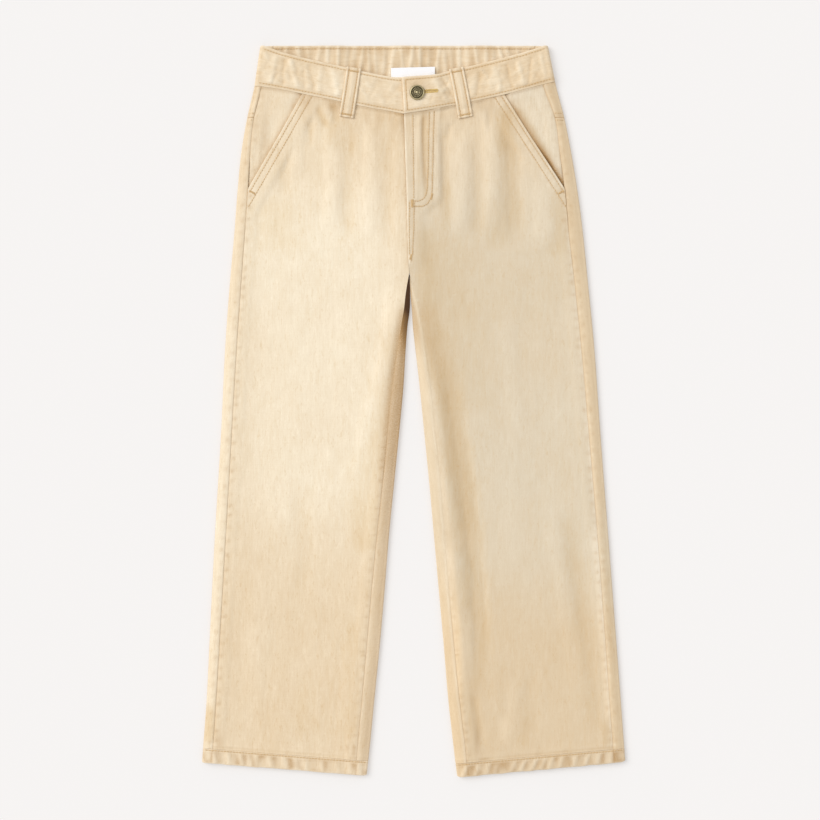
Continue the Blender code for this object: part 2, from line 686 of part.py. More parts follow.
def main():
    for old in list(bpy.data.objects):
        bpy.data.objects.remove(old, do_unlink=True)
    for side in ("right", "left"):
        make_back(side)
        make_yoke(side)
        make_front(side)
        make_facing(side)
        make_front_band(side)
        make_hem(side)
    make_back_band()
    for name in LOOPS:
        make_front_loop(name)
    for name in BACK_LOOPS:
        make_back_loop(name)
    x0, x1, y0, y1, z0 = LABEL
    make_slab("waist_label", x0, x1, y0, y1, z0, z0 + LABEL_WALL, "label")
    make_slab("fly_zip", *ZIP, "tape", across=1, along=1)
    make_button()


main()
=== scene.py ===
"""The looks of a child's jeans with wide straight legs, laid flat with the front up.

Frame: metres, +Z up, the garment lying on z = 0. +Y runs from the hems to the waist and +X to the
wearer's left. Sizes in the tables are in millimetres, and points given as (across, down) pairs in
the creases and stitch rows are places on the garment counted from the view's top left corner, at
1.02 mm each; place() turns them into millimetres of the frame.

Each cloth piece is a fine closed wall on the form of its solid: a grid of points on its middle
surface, moved out and in by half its thickness, with rounded rims, creases, puckers and stitched
channels. The threads lie in those channels.
"""

import math

import bpy
import numpy as np
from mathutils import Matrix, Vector
from mathutils.bvhtree import BVHTree


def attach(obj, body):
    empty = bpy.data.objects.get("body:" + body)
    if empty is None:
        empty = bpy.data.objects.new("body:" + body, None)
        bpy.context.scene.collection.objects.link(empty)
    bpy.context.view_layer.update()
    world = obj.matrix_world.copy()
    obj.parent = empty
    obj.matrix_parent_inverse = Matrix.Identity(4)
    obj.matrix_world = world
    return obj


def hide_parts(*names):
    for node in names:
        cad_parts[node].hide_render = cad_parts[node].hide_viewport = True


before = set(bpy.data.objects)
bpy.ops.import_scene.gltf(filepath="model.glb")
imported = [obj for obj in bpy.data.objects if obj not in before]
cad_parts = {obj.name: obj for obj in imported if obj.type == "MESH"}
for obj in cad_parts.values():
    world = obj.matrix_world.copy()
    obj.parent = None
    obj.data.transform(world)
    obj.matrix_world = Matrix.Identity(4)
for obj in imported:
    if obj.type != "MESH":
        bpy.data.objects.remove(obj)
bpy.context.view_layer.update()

MM = 0.001

# ---- the garment's sizes, as its solids have them ---------------------------------------------
WALL = 1.2
BAND_WALL = 2.2
HEM_WALL = 2.0
LOOP_WALL = 1.4
GAP = 0.03
SIDE_GAP = {"right": 0.11, "left": 0.05}
LAYER = 0.3
SEAM_Z = 5.0
FRONT_Z = 4.3
CROTCH_Z = 3.6
UNDERLAP_Z = 3.4
FLY_Z = 6.1
WAIST_Z = 5.4
LIP_Z = 5.5
FACING_Z = 3.85
BAND_Z = 6.3
TAB_Z = 8.9
ROLL = 1.6
BAND_ROLL = 2.6
WAIST_TOP_Y = 373.5
BACK_BAND_LOW_Y = 337.0
YOKE_SIDE_Y = 299.3
YOKE_MIDDLE_Y = 276.0
CROTCH_Y = 139.1
CENTRE_BACK_X = -4.4

SIDES = [  # y, right edge, right side seam, left side seam, left edge
    (373.5, -156.0, -149.5, 124.5, 137.2),
    (331.9, -162.7, -155.3, 132.2, 145.5),
    (299.3, -170.1, -163.1, 144.0, 153.9),
    (266.6, -175.7, -166.7, 148.8, 160.4),
    (225.8, -179.8, -169.2, 154.0, 167.2),
    (179.9, -183.3, -172.5, 158.5, 173.1),
    (139.1, -187.0, -175.5, 163.4, 177.2),
    (67.7, -192.3, -180.4, 170.8, 184.2),
    (-19.0, -196.5, -185.5, 178.6, 190.4),
    (-126.1, -202.9, -191.6, 187.6, 198.6),
    (-238.3, -208.6, -198.2, 196.0, 207.2),
    (-294.4, -211.4, -201.5, 199.9, 211.4),
    (-345.4, -215.2, -205.0, 203.6, 215.2),
    (-375.0, -217.2, -206.8, 205.2, 217.4),
]
INNER = [  # y, right inseam, right inner edge, left inner edge, left inseam, inseam height, roll
    (139.1, -5.0, -4.43, -4.37, -3.8, 3.6, 1.0),
    (121.0, -8.1, -3.70, -3.50, 0.8, 4.1, 1.0),
    (103.4, -10.1, -4.10, -1.90, 5.0, 4.6, 1.1),
    (88.0, -12.6, -6.20, -1.00, 8.0, 4.8, 1.2),
    (67.7, -15.6, -7.9, 1.2, 11.2, 5.0, 1.4),
    (26.9, -21.4, -10.4, 5.9, 16.9, 5.0, 1.6),
    (-19.0, -26.4, -14.6, 10.5, 21.8, 5.0, 1.6),
    (-70.0, -31.4, -19.7, 15.6, 27.0, 5.0, 1.6),
    (-126.1, -37.6, -25.2, 20.6, 31.4, 5.0, 1.6),
    (-182.2, -43.0, -29.7, 25.6, 36.0, 5.0, 1.6),
    (-238.3, -47.9, -34.6, 30.6, 41.2, 5.0, 1.6),
    (-294.4, -52.9, -40.2, 35.3, 46.8, 5.0, 1.6),
    (-345.4, -57.6, -45.2, 41.0, 53.0, 5.0, 1.6),
    (-375.0, -59.8, -48.4, 44.6, 55.6, 5.0, 1.6),
]
HEMS = {  # height of the hem seam and of the hem's edge at mid leg, slope of the hem
    "right": (-350.2, -365.2, -0.079),
    "left": (-351.6, -365.7, 0.092),
}
SLOPE_FROM_Y = 60.0
CENTRE_FRONT = [  # y, x of the left front's edge, how far the right front runs on below it
    (340.0, -11.0, 26.0),
    (303.3, -9.9, 26.0),
    (256.4, -8.5, 26.0),
    (222.0, -7.3, 24.0),
    (205.0, -6.8, 8.0),
    (185.0, -6.2, 3.5),
    (165.0, -5.7, -0.3),
    (151.7, -5.3, -0.3),
    (139.1, -4.4, -0.3),
]
POCKETS = {  # x and y of the opening's top end, x and y of its bottom end, gape
    "right": (-114.0, 322.2, -168.4, 227.4, 0.0),
    "left": (92.6, 321.6, 153.8, 227.4, 1.4),
}
LIP_WIDTH = 13.0
FACING_LOW_Y = 216.0
BAND = {  # from the closure to the fold at the side: x and y of the top edge and of the low edge
    "right": [(-12.0, 340.6, -9.9, 303.3), (-23.2, 341.1, -26.6, 306.3), (-49.7, 346.2, -55.8, 311.7),
              (-70.1, 351.0, -75.2, 316.0), (-110.0, 359.9, -114.2, 323.9),
              (-134.0, 366.3, -139.0, 328.7), (-156.6, 373.0, -162.6, 331.9)],
    "left": [(-12.0, 340.6, -9.9, 303.3), (21.0, 343.2, 25.0, 309.0), (36.0, 347.0, 40.9, 312.2),
             (60.4, 352.7, 66.0, 317.2), (88.0, 359.6, 95.1, 323.6), (112.5, 366.2, 119.6, 330.1),
             (137.0, 373.0, 144.4, 336.3)],
}
UNDERLAP_END_X = 16.0
TAB_RAMP = (21.0, 36.0)
BAND_TURN = 13.0
LOOP_WIDTH = 13.6
FRONT_LOOP_WIDTH = 14.4
LOOPS = {  # x and y of the middle of the top end, x and y of the middle of the bottom end
    "loop_front_right": (-60.9, 350.0, -68.8, 300.1),
    "loop_front_left": (43.2, 349.6, 52.8, 299.9),
}
BACK_LOOPS = {"loop_back_right": -84.0, "loop_back_middle": -8.0, "loop_back_left": 68.0}
BACK_LOOP_HEIGHT = 1.3
BUTTON_X, BUTTON_Y = 3.5, 324.5
LABEL = (-23.2, 21.7, 329.0, 351.6, 4.45)

# ---- creases: side, height, half width, and the line they follow -------------------------------
CREASES = [
    # the folds that hang from the waistband, wearer's right
    ("right", 0.75, 8, ((331, 116), (332, 180), (330, 246))),
    ("right", -0.7, 7, ((350, 114), (349, 180), (347, 250))),
    ("right", 0.85, 8, ((371, 110), (370, 180), (367, 252))),
    ("right", -0.6, 7, ((389, 116), (389, 180), (388, 250))),
    ("right", -0.8, 4, ((309, 112), (311, 128), (309, 150))),
    ("right", -0.75, 3, ((317, 104), (321, 116), (327, 130))),
    ("right", 0.6, 3, ((325, 103), (328, 112), (332, 126))),
    ("right", -0.55, 3, ((332, 101), (336, 112), (337, 124))),
    ("right", 0.5, 3, ((301, 103), (295, 110), (288, 118))),
    ("right", -0.5, 3, ((392, 110), (400, 113), (406, 113))),
    ("left", -0.5, 3, ((452, 122), (449, 130), (447, 142))),
    ("left", 0.5, 3, ((482, 108), (485, 120), (486, 134))),
    ("left", -0.45, 3, ((490, 104), (489, 116), (488, 130))),
    ("right", 0.5, 6, ((299, 118), (297, 150), (296, 178))),
    ("right", -0.45, 6, ((284, 150), (285, 176), (284, 200))),
    ("right", 0.3, 7, ((270, 205), (268, 250))),
    # and below the hip
    ("right", 0.9, 10, ((398, 262), (393, 320), (383, 372), (371, 420), (362, 470), (358, 520))),
    ("right", 0.45, 7, ((353, 630), (348, 690), (343, 742))),
    ("right", -0.35, 9, ((300, 470), (306, 540), (302, 610))),
    ("right", 0.35, 11, ((262, 560), (256, 640), (252, 735))),
    # wearer's left
    ("left", -0.8, 5, ((444, 118), (445, 170), (446, 222))),
    ("left", 0.85, 8, ((460, 124), (461, 180), (460, 246))),
    ("left", -0.75, 6, ((477, 122), (478, 190), (478, 246))),
    ("left", 1.05, 8, ((493, 108), (494, 180), (491, 248))),
    ("left", -1.2, 8, ((513, 128), (514, 190), (517, 252))),
    ("left", 0.7, 12, ((543, 176), (546, 252))),
    # the long folds of the left leg
    ("left", 1.0, 8, ((420, 318), (431.5, 390), (440, 459), (452, 520), (460, 595), (465, 650), (467, 705))),
    ("left", -1.0, 9, ((446, 340), (457, 420), (469, 500), (477, 570), (482, 640), (485, 705))),
    ("left", 0.45, 10, ((545, 480), (560, 560), (573, 640), (593, 735))),
    ("left", -0.45, 10, ((567, 510), (578, 575), (590, 640), (604, 738))),
    ("left", -0.7, 4, ((474, 690), (478, 722), (483, 750))),
    ("left", 0.5, 7, ((517, 676), (513, 712), (508, 748))),
    ("left", -0.4, 7, ((530, 660), (533, 742))),
    ("left", 0.35, 9, ((505, 300), (512, 380), (520, 450))),
]

SHADES = [
    # side, lighter or darker, half width, and the line it follows: painted shade and painted highlights along the folds
    ("left", -0.10, 10, ((424, 216), (426, 250), (427, 290), (430, 330), (434, 370), (440, 400), (445, 430), (449, 460), (454, 500), (459, 540), (464, 580), (468, 625))),
    ("left", -0.055, 14, ((430, 320), (437, 345), (442, 370), (449, 400), (454, 430), (458, 460), (463, 500), (468, 540))),
    ("left", -0.13, 4.5, ((508, 98), (523, 118), (537, 140), (553, 164))),
    ("left", -0.05, 26, ((436, 225), (458, 330), (474, 420))),
    ("left", 0.06, 4, ((416, 318), (420, 360), (426, 410))),
    ("left", 0.12, 1.8, ((409.6, 272), (411.2, 296), (413.2, 324))),
    ("left", -0.05, 10, ((563, 505), (568, 545), (574, 585), (581, 640), (588, 700), (597, 738))),
    ("left", 0.15, 4, ((592, 520), (597, 570), (601, 620), (606, 680), (609, 730))),
    ("left", 0.05, 3, ((585, 390), (590, 440), (595, 500), (598, 560))),
    ("left", 0.10, 5, ((445, 535), (450, 590), (455, 640), (459, 700))),
    ("left", 0.04, 6, ((577, 260), (581, 300), (585, 360), (589, 420), (595, 500))),
    ("left", -0.09, 13, ((506, 100), (502, 140), (500, 170), (498, 200), (500, 256))),
    ("left", -0.13, 9, ((506, 100), (505, 130), (504, 160))),
    ("left", -0.13, 3.8, ((425, 104), (425, 130), (425.4, 160), (426, 208))),
    ("left", -0.07, 1.5, ((422.2, 110), (422.0, 150))),
    ("left", 0.09, 3.4, ((417.4, 110), (417.8, 152))),
    ("left", -0.07, 1.3, ((418.8, 148), (418.8, 206))),
    ("left", 0.04, 1.8, ((415.6, 156), (415.8, 206))),
    ("left", -0.08, 5, ((447, 172), (447, 240))),
    ("left", -0.09, 9, ((556, 178), (557, 266))),
    ("left", -0.05, 7, ((488, 612), (480, 660), (474, 700), (476, 744))),
    ("left", -0.09, 5, ((524, 712), (525, 750))),
    ("left", 0.07, 6, ((503, 712), (504, 750))),
    ("left", -0.08, 4, ((604, 718), (606, 750))),
    ("right", -0.08, 26, ((276, 190), (278, 262))),
    ("right", -0.08, 9, ((333, 112), (334, 156))),
    ("right", -0.09, 13, ((396, 318), (389, 365), (382, 400), (376, 440), (371, 480), (368, 520), (364, 560))),
    ("right", -0.04, 10, ((360, 440), (356, 500), (353, 560))),
    ("right", -0.10, 4, ((317, 105), (321, 116), (327, 130))),
    ("right", -0.09, 4, ((331, 101), (334, 112), (335, 124))),
    ("right", -0.08, 3, ((393, 111), (400, 114), (405, 114))),
    ("right", -0.07, 4, ((350, 118), (352, 140), (351, 160))),
    ("right", -0.08, 8, ((353, 610), (350, 680), (347, 748))),
    ("right", -0.06, 10, ((303, 672), (302, 748))),
    ("right", -0.16, 6, ((210, 700), (208, 750))),
]
FOLD = 1.7  # how much deeper than the table's heights the folds are pressed

# Where the elastic pulls the band and the hems into puckers.
HEM_PUCKERS = {
    "right": (214, 228, 241, 249, 256, 270, 284, 296, 305, 321, 337, 349, 359),
    "left": (465, 477, 488, 496, 513, 523, 534, 543, 551, 561, 575, 587, 598, 611),
}


def place(across, down):
    return ((across - 413.75) * 1.02, (411.4 - down) * 1.02)


def path_of(points):
    return [place(*p) for p in points]


def smooth(rows, column, key=0):
    """A smooth curve through one column of a table, as a function of its first column."""
    table = np.array(sorted((row[key], row[column]) for row in rows), float)
    at, value = table[:, 0], table[:, 1]
    slope = np.gradient(value, at)

    def curve(where):
        w = np.clip(np.asarray(where, float), at[0], at[-1])
        i = np.clip(np.searchsorted(at, w) - 1, 0, len(at) - 2)
        step = at[i + 1] - at[i]
        t = (w - at[i]) / step
        return (
            (2 * t**3 - 3 * t**2 + 1) * value[i]
            + (t**3 - 2 * t**2 + t) * step * slope[i]
            + (3 * t**2 - 2 * t**3) * value[i + 1]
            + (t**3 - t**2) * step * slope[i + 1]
        )

    return curve


def ease(t):
    t = np.clip(t, 0.0, 1.0)
    return t * t * (3 - 2 * t)


def mix(a, b, t):
    return a + (b - a) * t


def bump(distance, half):
    return np.exp(-((distance / half) ** 2))


_fields = {}


def noise(x, y, size_x, size_y, seed):
    """Soft noise from -1 to 1 with features of that size in millimetres."""
    if seed not in _fields:
        _fields[seed] = np.random.default_rng(seed).uniform(-1.0, 1.0, (97, 97))
    field = _fields[seed]
    u, v = x / size_x + 500.0, y / size_y + 500.0
    i, j = np.floor(u).astype(int), np.floor(v).astype(int)
    fu, fv = u - i, v - j
    fu, fv = fu * fu * (3 - 2 * fu), fv * fv * (3 - 2 * fv)
    a, b = field[i % 97, j % 97], field[(i + 1) % 97, j % 97]
    c, d = field[i % 97, (j + 1) % 97], field[(i + 1) % 97, (j + 1) % 97]
    return mix(mix(a, b, fu), mix(c, d, fu), fv)


def ridged(x, y, size_x, size_y, seed):
    """Thin uneven ridges, as crumpled cloth has: from 0 to 1."""
    lines = np.clip(1 - 3.2 * np.abs(noise(x, y, size_x, size_y, seed)), 0.0, 1.0)
    return lines * lines * np.clip(0.5 + noise(x, y, 3 * size_x, 2 * size_y, seed + 1), 0.0, 1.0)


def pulses(along, step, half, seed, start=-400.0, end=400.0):
    """Uneven soft bumps along a line, about a step apart, each from 0 to 1."""
    rng = np.random.default_rng(seed)
    at, total = start, np.zeros(np.shape(along))
    while at < end:
        size = half * rng.uniform(0.7, 1.4)
        height = rng.uniform(0.35, 1.0)
        total = total + height * bump(along - at, size)
        at += step * rng.uniform(0.65, 1.4)
    return np.clip(total, 0.0, 1.2)


def to_path(x, y, path):
    """How far points are from a line through places, and how far along it they are."""
    best, along, run = np.full(np.shape(x), 1e9), np.zeros(np.shape(x)), 0.0
    for (x0, y0), (x1, y1) in zip(path, path[1:]):
        dx, dy = x1 - x0, y1 - y0
        long = math.hypot(dx, dy)
        t = np.clip(((x - x0) * dx + (y - y0) * dy) / long**2, 0.0, 1.0)
        away = np.hypot(x - x0 - t * dx, y - y0 - t * dy)
        nearer = away < best
        best, along = np.where(nearer, away, best), np.where(nearer, run + t * long, along)
        run += long
    return best, along, run


SIDE_INDEX = {"right": (1, 2), "left": (4, 3)}
INNER_INDEX = {"right": (2, 1), "left": (3, 4)}
EDGE_OUT = {side: smooth(SIDES, SIDE_INDEX[side][0]) for side in ("right", "left")}
SEAM_OUT = {side: smooth(SIDES, SIDE_INDEX[side][1]) for side in ("right", "left")}
EDGE_IN = {side: smooth(INNER, INNER_INDEX[side][0]) for side in ("right", "left")}
SEAM_IN = {side: smooth(INNER, INNER_INDEX[side][1]) for side in ("right", "left")}
INSEAM_Z = smooth(INNER, 5)
INNER_ROLL = smooth(INNER, 6)
FRONT_EDGE = smooth(CENTRE_FRONT, 1)
UNDERLAP = smooth(CENTRE_FRONT, 2)
INWARD = {"right": 1.0, "left": -1.0}
BAND_LOW = {side: smooth([(row[2], row[3]) for row in BAND[side]], 1) for side in ("right", "left")}


def band_low(x):
    return np.where(np.asarray(x, float) < -10.0, BAND_LOW["right"](x), BAND_LOW["left"](x))


def seam_top(side):
    y = BAND[side][-1][3]
    for _ in range(6):
        y = float(band_low(SEAM_OUT[side](y))) - GAP
    return y


def hem_slope(side, y):
    return HEMS[side][2] * ease((SLOPE_FROM_Y - y) / (SLOPE_FROM_Y - HEMS[side][0]))


class Rows:
    """Rows across a leg: straight lines at a slope, and where the outlines cross them."""

    def __init__(self, side, y, slope=None):
        self.side, self.y0 = side, np.asarray(y, float)
        self.slope = hem_slope(side, self.y0) if slope is None else slope
        self.middle = (EDGE_OUT[side](self.y0) + EDGE_IN[side](self.y0)) / 2
        self.outer = self.cross(EDGE_OUT[side])
        self.side_seam = self.cross(SEAM_OUT[side])
        self.inseam = self.cross(SEAM_IN[side])
        self.inner = self.cross(EDGE_IN[side])

    def y(self, x):
        return self.y0 + self.slope * (x - self.middle)

    def cross(self, line):
        x = line(self.y0)
        for _ in range(4):
            x = line(self.y(x))
        return x


def lip_distance(side, x, y):
    """How far a point is inside the pocket opening's line."""
    x0, y0, x1, y1, _ = POCKETS[side]
    long = math.hypot(x1 - x0, y1 - y0)
    return INWARD[side] * ((x - x0) * (y0 - y1) + (y - y0) * (x1 - x0)) / long


# ---- stitch rows ------------------------------------------------------------------------------
def pocket_row(side, inside, low_y):
    """A row along the pocket opening, that far inside it, from the waistband to the side seam."""
    x0, y0, x1, y1, _ = POCKETS[side]
    long = math.hypot(x1 - x0, y1 - y0)
    nx, ny = INWARD[side] * (y0 - y1) / long, INWARD[side] * (x1 - x0) / long
    if ny < 0 and nx * INWARD[side] < 0:
        nx, ny = -nx, -ny
    start = (x0 + nx * inside, y0 + ny * inside)
    dx, dy = (x1 - x0) / long, (y1 - y0) / long
    reach = (start[1] - low_y) / -dy
    return [(start[0] - dx * 4.0, start[1] - dy * 4.0), (start[0] + dx * reach, low_y)]


FLY_ROWS = {
    "edge": [(-1.0, 302.5), (-0.6, 280.0), (-0.2, 250.0), (0.0, 217.0)],
    "outer": [(20.9, 306.2), (20.0, 282.0), (19.5, 256.4), (18.8, 226.0), (17.4, 217.5), (14.0, 211.5), (9.3, 209.2), (0.9, 209.0)],
    "inner": [(16.1, 305.5), (15.2, 282.0), (14.9, 256.0), (14.0, 228.0), (12.4, 220.4), (9.2, 216.0), (4.6, 214.4), (-3.2, 214.8)],
    "low_outer": [(0.6, 213.5), (0.2, 196.0), (-0.4, 176.0), (-1.2, 162.0), (-2.6, 153.5)],
    "low_inner": [(-4.3, 213.5), (-4.5, 196.0), (-4.4, 178.0), (-4.2, 160.0)],
}
POCKET_ROWS = {
    side: [pocket_row(side, 2.9, 223.0), pocket_row(side, 9.2, 208.5)] for side in ("right", "left")
}


# ---- heights ----------------------------------------------------------------------------------
def creases(side, x, y):
    total = np.zeros(np.shape(x))
    for owner, height, half, points in CREASES:
        if owner != side:
            continue
        away, along, run = to_path(x, y, path_of(points))
        ends = ease(along / (0.25 * run)) * ease((run - along) / (0.25 * run))
        uneven = 0.8 + 0.35 * noise(along, 0 * along, 28.0, 1.0, 5 + int(half))
        away = np.abs(away + 0.16 * half * noise(x, y, 6.0, 19.0, 7) + 0.10 * half * noise(x, y, 2.6, 9.0, 8))
        total += height * ends * uneven * np.exp(-((away / (half * 0.98)) ** 3))
    return FOLD * total


def seam_shows(side, y):
    """How plainly the inseam is seen: near the fork the cloth rolls over it."""
    start = 10.0 if side == "right" else -160.0
    return 0.08 + 0.92 * ease((start - y) / 70.0)


def above_hem(side, x, y):
    top_y, _, slope = HEMS[side]
    middle = float(EDGE_OUT[side](top_y) + EDGE_IN[side](top_y)) / 2
    return y - top_y - slope * (x - middle)


def hem_drag(side, x, y):
    """The folded edge inside the hem pressed through, and short puckers above the stitches."""
    above = above_hem(side, x, y)
    z = 0.34 * bump(above - 4.7, 0.9) * (0.65 + 0.5 * noise(x, 0 * x, 13.0, 1.0, 215)) - 0.26 * bump(above - 2.3, 1.3)
    lean = 0.10 if side == "right" else -0.22
    for k, across in enumerate(HEM_PUCKERS[side]):
        at = place(across, 0)[0]
        z = z + 0.30 * (0.5 + 0.5 * math.sin(k * 2.3)) * bump(x - at + lean * above, 2.2) * np.exp(-np.clip(above, 0, 60) / 9.0)
    return z * ease((above + 0.5) / 1.5)


def crumple(x, y, seed, size=1.0):
    """The cloth's own unevenness: broad swells, soft dents and small ripples."""
    return size * (
        0.42 * noise(x, y, 42.0, 95.0, seed)
        + 0.22 * noise(x, y, 17.0, 38.0, seed + 1)
        + 0.10 * noise(x, y, 6.5, 14.0, seed + 2)
        + 0.22 * ridged(x, y, 15.0, 42.0, seed + 3)
        - 0.14 * ridged(x + 7.0, y, 8.0, 17.0, seed + 5)
    )


def seam_detail(away, along, seed, side=1.0):
    """A pressed seam: a groove at the seam line, the allowances below it, and roping puckers."""
    z = -0.16 * bump(away, 0.8)
    z = z + 0.30 * ease((away - 0.6) / 1.4) * ease((12.5 - away) / 3.0)
    z = z - 0.42 * pulses(along, 11.5, 2.1, seed) * bump(away - 3.6, 3.0)
    z = z + 0.22 * pulses(along, 8.0, 1.6, seed + 7) * bump(away - 1.6, 1.6)
    return z


def front_z(side, x, y):
    """Height of a front panel's middle surface."""
    d = INWARD[side]
    from_side = d * (x - SEAM_OUT[side](y))
    from_inner = d * (SEAM_IN[side](y) - x)
    z = FRONT_Z + (SEAM_Z - FRONT_Z) * bump(from_side, 16.0)
    leg = ease((CROTCH_Y + 6.0 - y) / 12.0)
    z = z + leg * (INSEAM_Z(y) - FRONT_Z) * bump(from_inner, 14.0)
    lower = ease((CROTCH_Y - y) / 60.0)
    z = z + 0.55 * lower * bump(from_inner - (2.0 if side == "right" else 6.0), 11.0)
    z = z + creases(side, x, y) + crumple(x, y, 11 if side == "right" else 21, 0.85)
    # both sides of a seam lie at one height
    z = mix(z, SEAM_Z, bump(from_side, 4.0) * ease((232.0 - y) / 8.0))
    z = mix(z, INSEAM_Z(y) + 0.45 * lower, lower * bump(from_inner, 5.5))
    z = z + seam_detail(from_side, y, 31 if side == "right" else 32) * ease((232.0 - y) / 8.0)
    z = z + lower * seam_shows(side, y) * seam_detail(from_inner, y, 33 if side == "right" else 34)
    z = z + hem_drag(side, x, y)
    below = band_low(x) - y
    waist = WAIST_Z + 0.30 * noise(x, y, 9.0, 16.0, 41) + 0.45 * ridged(x + 0.3 * y, y, 6.5, 11.0, 43) - 0.35 * ridged(x - 0.25 * y, y, 5.5, 9.0, 45)
    waist = waist + 0.55 * creases(side, x, y)
    z = mix(z, waist, ease((32.0 - below) / 22.0))
    z = z - 0.40 * bump(below - 3.2, 2.4) * (0.6 + 0.6 * noise(x, 0 * x, 7.0, 1.0, 42))
    z = z + 0.80 * bump(below, 1.5)
    edge = FRONT_EDGE(y)
    upper = ease((y - CROTCH_Y) / 20.0)
    if side == "right":
        rise = 0.45 * upper * bump(x - (edge - 7.0), 8.0)
        down = mix(CROTCH_Z, UNDERLAP_Z, upper)
        ready = ease((y - CROTCH_Y + 2.0) / 4.0)
        z = z + rise
        z = mix(z, np.minimum(z, 4.6), ease((x - (edge - 2.8)) / 2.0) * ready)
        z = mix(z, down, ease((x - edge - 0.3) / 2.4) * ready)
    else:
        width = mix(9.0, 27.0, ease((y - 196.0) / 22.0))
        lap = mix(5.2, FLY_Z, ease((y - 198.0) / 22.0))
        lap = mix(CROTCH_Z, lap, upper)
        lap = lap + upper * (0.12 * noise(x, y, 5.0, 14.0, 51) + 0.10 * noise(x, y, 3.0, 30.0, 52))
        over = ease((width + 12.0 - (x - edge)) / 12.0) * ease((y - CROTCH_Y + 2.0) / 4.0)
        z = mix(z, lap, over)
        # the valley that the zip draws down the fly
        valley, along, run = to_path(x, y, [(10.8, 305.0), (10.2, 284.0), (10.6, 258.0), (11.6, 236.0), (12.0, 218.0)])
        z = z - 0.85 * bump(valley, 2.7) * ease(along / 10.0) * ease((run - along) / 22.0) * (0.8 + 0.3 * noise(along, 0 * along, 11.0, 1.0, 53))
        z = z + 0.55 * bump(x - 24.6, 3.0) * ease((y - 205.0) / 20.0)
        z = z + 0.35 * bump(valley - 4.6, 1.8) * (x > 11.2) * ease(along / 10.0) * ease((run - along) / 22.0)
        z = z + 0.60 * bump(valley - 4.6, 2.2) * (x < 11.2) * ease(along / 10.0) * ease((run - along) / 22.0)
        z = z + 1.35 * bump(below, 2.2) * ease((42.0 - x) / 14.0)
        for key, row in FLY_ROWS.items():
            away, along, run = to_path(x, y, row)
            z = z - 0.30 * bump(away, 0.85)
            z = z + 0.16 * pulses(along, 7.0, 1.8, 61 + len(key)) * bump(away - 2.2, 1.6)
    inside = lip_distance(side, x, y)
    x0, y0, x1, y1, gape = POCKETS[side]
    lip = ease((LIP_WIDTH + 10.0 - inside) / 8.0) * ease((y - 178.0) / 20.0)
    open_z = gape * bump(y - 243.0, 20.0) * ease((16.0 - inside) / 14.0)
    lip_z = LIP_Z + 0.12 * noise(x, y, 6.0, 9.0, 55)
    z = mix(z, lip_z, lip) + open_z
    for k, row in enumerate(POCKET_ROWS[side]):
        away, along, run = to_path(x, y, row)
        z = z - 0.30 * bump(away, 0.85)
        z = z + 0.20 * pulses(along, 9.0, 2.0, 71 + k) * bump(away - 3.1, 1.8) * (inside > 3.0) * (inside < 9.0)
    # the edges of the pocket bag and of the fly's inner layer, pressed through the cloth
    if side == "right":
        bag = [(-164.0, 178.0), (-138.0, 166.0), (-96.0, 164.0), (-60.0, 172.0)]
    else:
        bag = [(150.0, 178.0), (122.0, 163.0), (84.0, 162.0), (48.0, 172.0)]
    away, along, run = to_path(x, y, bag)
    z = z + 0.22 * bump(away, 2.2) * ease(along / 20.0) * ease((run - along) / 20.0)
    return np.where(z < 3.4, 3.4 - 0.7 * np.tanh((3.4 - z) / 0.7), z)


# ---- colour masks -----------------------------------------------------------------------------
def blob(x, y, across, down, half_across, half_down):
    cx, cy = place(across, down)
    return np.exp(-(((x - cx) / (half_across * 1.02)) ** 2) - ((y - cy) / (half_down * 1.02)) ** 2)


def tone_front(side, x, y):
    """How far the dye is washed out, from 0 to 1, with painted shade along the long fold and in the folds' troughs."""
    across, down = x / 1.02 + 413.75, 411.4 - y / 1.02
    if side == "right":
        patch = ease((602.0 - down) / 120.0) * ease((down - 150.0) / 120.0) * np.exp(-((across - 318.0) / 92.0) ** 4)
        t = 0.42 + 0.44 * patch + 0.26 * blob(x, y, 305, 200, 95, 66) + 0.16 * blob(x, y, 290, 110, 60, 40)
        edge = SEAM_OUT[side](y) - x
        t = t + ease((edge + 1.0) / 2.0) * (
            0.08 + 0.16 * ease((down - 420.0) / 140.0) - 0.10 * ease((down - 640.0) / 70.0) - 0.30 * ease((340.0 - down) / 80.0))
    else:
        t = 0.72 + 0.10 * blob(x, y, 520, 460, 80, 80) - 0.42 * ease((down - 540.0) / 110.0) - 0.36 * blob(x, y, 475, 130, 75, 55)
        t = t - (0.50 - 0.38 * ease((down - 480.0) / 90.0)) * ease((x - SEAM_OUT[side](y) + 1.5) / 2.0)
        # painted light: the tone drops along the long fold's shade and on the strip that faces the light
        fold, _, _ = to_path(x, y, path_of(((430, 320), (437, 345), (442, 370), (449, 400), (454, 430), (458, 460), (463, 500), (468, 540))))
        t = t - 0.34 * lit_strip(x, y) - 0.22 * np.exp(-((fold / 15.0) ** 2.5))
    t = t + 0.05 * noise(x, y, 38.0, 60.0, 81) + 0.04 * noise(x, y, 13.0, 26.0, 82)
    # painted shade and highlights: a little darker in the folds' troughs, lighter on their ridges
    return t + 0.03 * creases(side, x, y)


LIT_EDGE = smooth([place(across, down)[::-1] for down, across in (
    (290, 414), (320, 419), (345, 422), (370, 427), (400, 433), (430, 438), (460, 442), (500, 448), (540, 454), (580, 457),
    (620, 460), (700, 463), (770, 466))], 1)


def lit_strip(x, y):
    """The inner side of the shaded leg, as far as its long fold: it faces the light."""
    return ease((LIT_EDGE(y) - x + 3.0) / 7.0) * ease((118.0 - y) / 24.0)


def tone_back(side, x, y):
    t = 0.22 + 0.30 * blob(x, y, 300 if side == "right" else 520, 380, 80, 150)
    return t + 0.05 * noise(x, y, 40.0, 60.0, 83) + 0.03 * noise(x, y, 13.0, 24.0, 84)


